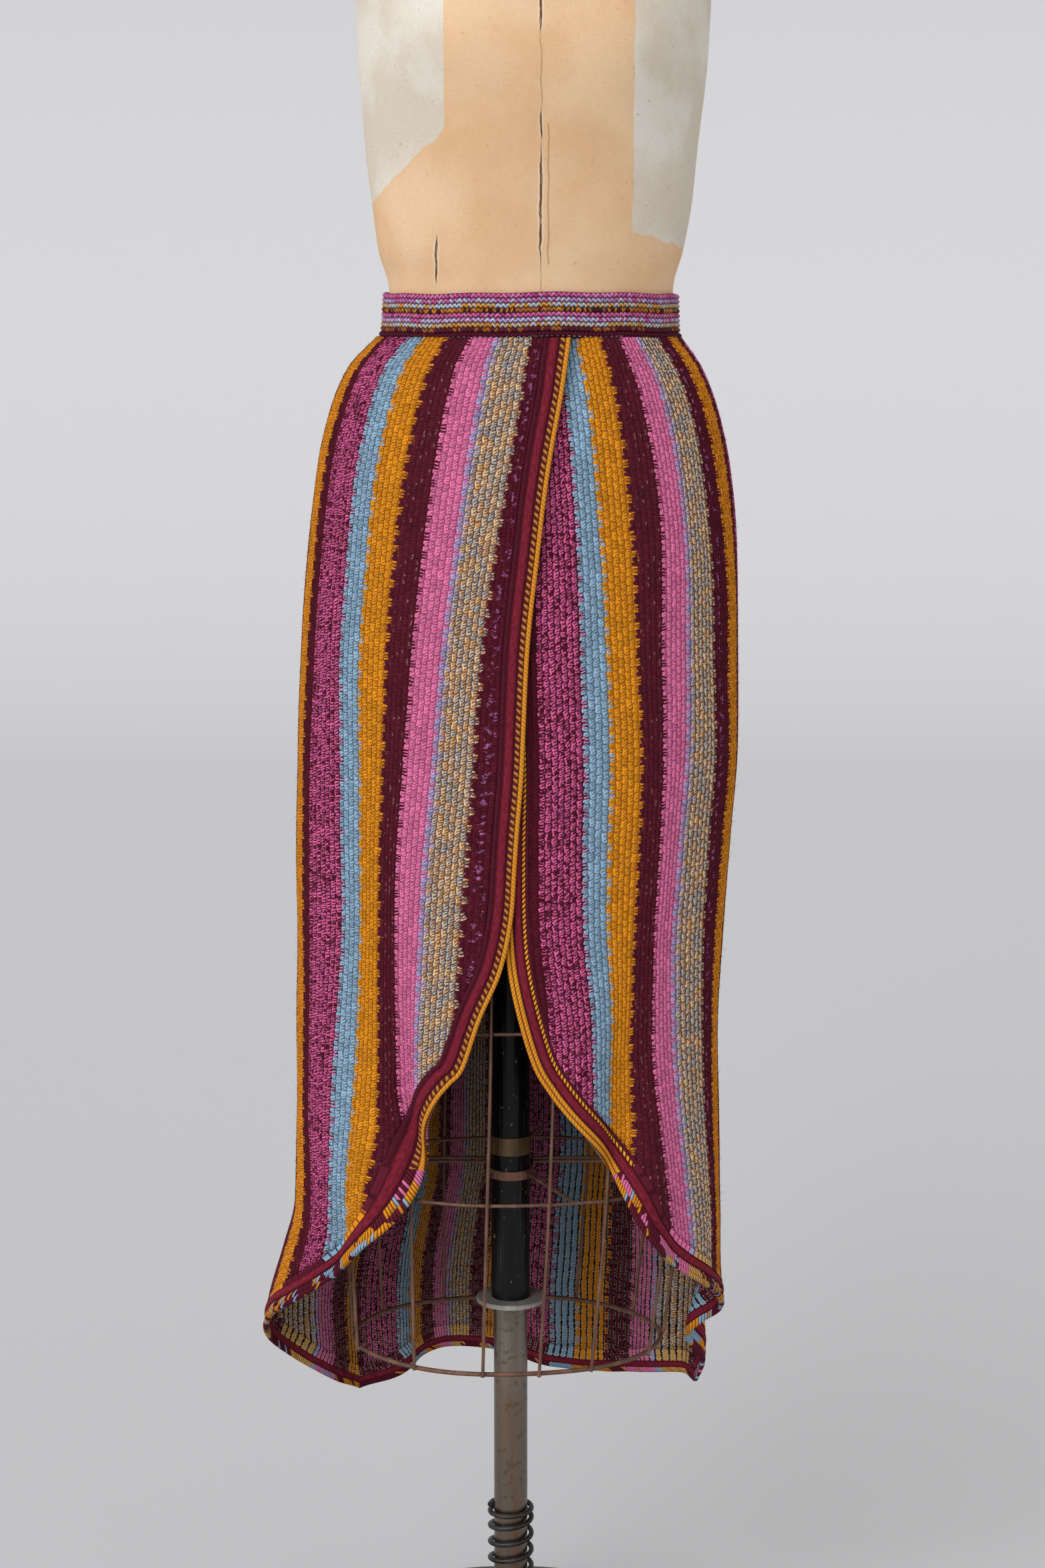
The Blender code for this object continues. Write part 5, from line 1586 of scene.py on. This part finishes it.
# %% Floor and backdrop
FLOOR_SIZE = 80.0
WALL_Y = 8.5              # where the floor ends and the backdrop rises
WALL_TALL = 9.0
CURVE = 3.0               # radius of the bend between them
bpy.ops.object.select_all(action="DESELECT")
bpy.ops.mesh.primitive_plane_add(size=FLOOR_SIZE, location=(0, WALL_Y - FLOOR_SIZE / 2, 0))
floor = bpy.context.active_object
floor.name = "studio_floor"
bpy.ops.object.transform_apply(location=True, rotation=True, scale=True)
bpy.ops.object.mode_set(mode="EDIT")
bpy.ops.mesh.select_all(action="DESELECT")
bpy.ops.mesh.select_mode(type="EDGE")
edit = bmesh.from_edit_mesh(floor.data)
for line in edit.edges:
    line.select_set(all(v.co.y > WALL_Y - 0.5 for v in line.verts))
bmesh.update_edit_mesh(floor.data)
bpy.ops.mesh.extrude_region_move(TRANSFORM_OT_translate={"value": (0, 0, WALL_TALL)})
edit = bmesh.from_edit_mesh(floor.data)
for line in edit.edges:
    line.select_set(all(v.co.y > WALL_Y - 0.5 and v.co.z < 0.01 for v in line.verts))
bmesh.update_edit_mesh(floor.data)
bpy.ops.mesh.bevel(offset=CURVE, segments=32, affect="EDGES")
bpy.ops.object.mode_set(mode="OBJECT")
floor.data.shade_smooth()
paper = Finish("studio_paper", Roughness=0.95)
paper.colour("C2C2C4")
floor.data.materials.append(paper.material)

# %% Lamps
# Name, where the light comes from, how wide it looks in degrees, and its strength
LAMPS = (
    ("key_light", (-2.4, -2.8, 3.1), 50.0, 2.0),
    ("fill_light", (2.6, -2.4, 1.4), 70.0, 0.42),
)
for name, place, wide, strength in LAMPS:
    bpy.ops.object.light_add(type="SUN", location=place)
    lamp = bpy.context.active_object
    lamp.name = name
    lamp.data.angle = math.radians(wide)
    lamp.data.energy = strength
    aim = Vector((0, 0, 0.95)) - Vector(place)
    lamp.rotation_euler = aim.to_track_quat("-Z", "Y").to_euler()
world = bpy.data.worlds.new("studio_air")
bpy.context.scene.world = world
world.use_nodes = True
world.node_tree.nodes["Background"].inputs[0].default_value = tint("DADADA")
world.node_tree.nodes["Background"].inputs[1].default_value = 0.96
bpy.context.scene.view_settings.view_transform = "Standard"

# %% What rides on what, and what it stands for
CAGE_SOLIDS = [name for name in nodes if name.startswith("cage_") and name != "cage_strap"]
PIECES = (
    (right_knit, "form", "striped_knit", ["front_right_panel"]),
    (left_knit, "form", "striped_knit", ["front_left_panel"]),
    (back_knit, "form", "striped_knit", ["back_panel"]),
    (right_binding, "form", "bound_edge", ["front_right_edge"]),
    (left_binding, "form", "bound_edge", ["front_left_edge"]),
    (hem_binding, "form", "bound_edge", ["back_hem_edge"]),
    (band, "form", "waistband", ["waistband"]),
    (body, "form", "canvas", ["torso"]),
    (plates[0], "form", "canvas", ["arm_plate_right"]),
    (plates[1], "form", "canvas", ["arm_plate_left"]),
    (cap, "form", "turned_wood", ["neck_cap"]),
    (cage, "form", "rusty_wire", CAGE_SOLIDS),
    (spring, "stand", "black_tube", ["spring"]),
    (base, "stand", "painted_iron", ["base"]),
    (fuzz[0], "form", "striped_knit", []),
    (fuzz[1], "form", "striped_knit", []),
    (fuzz[2], "form", "striped_knit", []),
)
for piece, carrier, slot, solids in PIECES:
    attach(piece, carrier)
    if solids:
        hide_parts(*solids)
print("pieces:", len(PIECES))
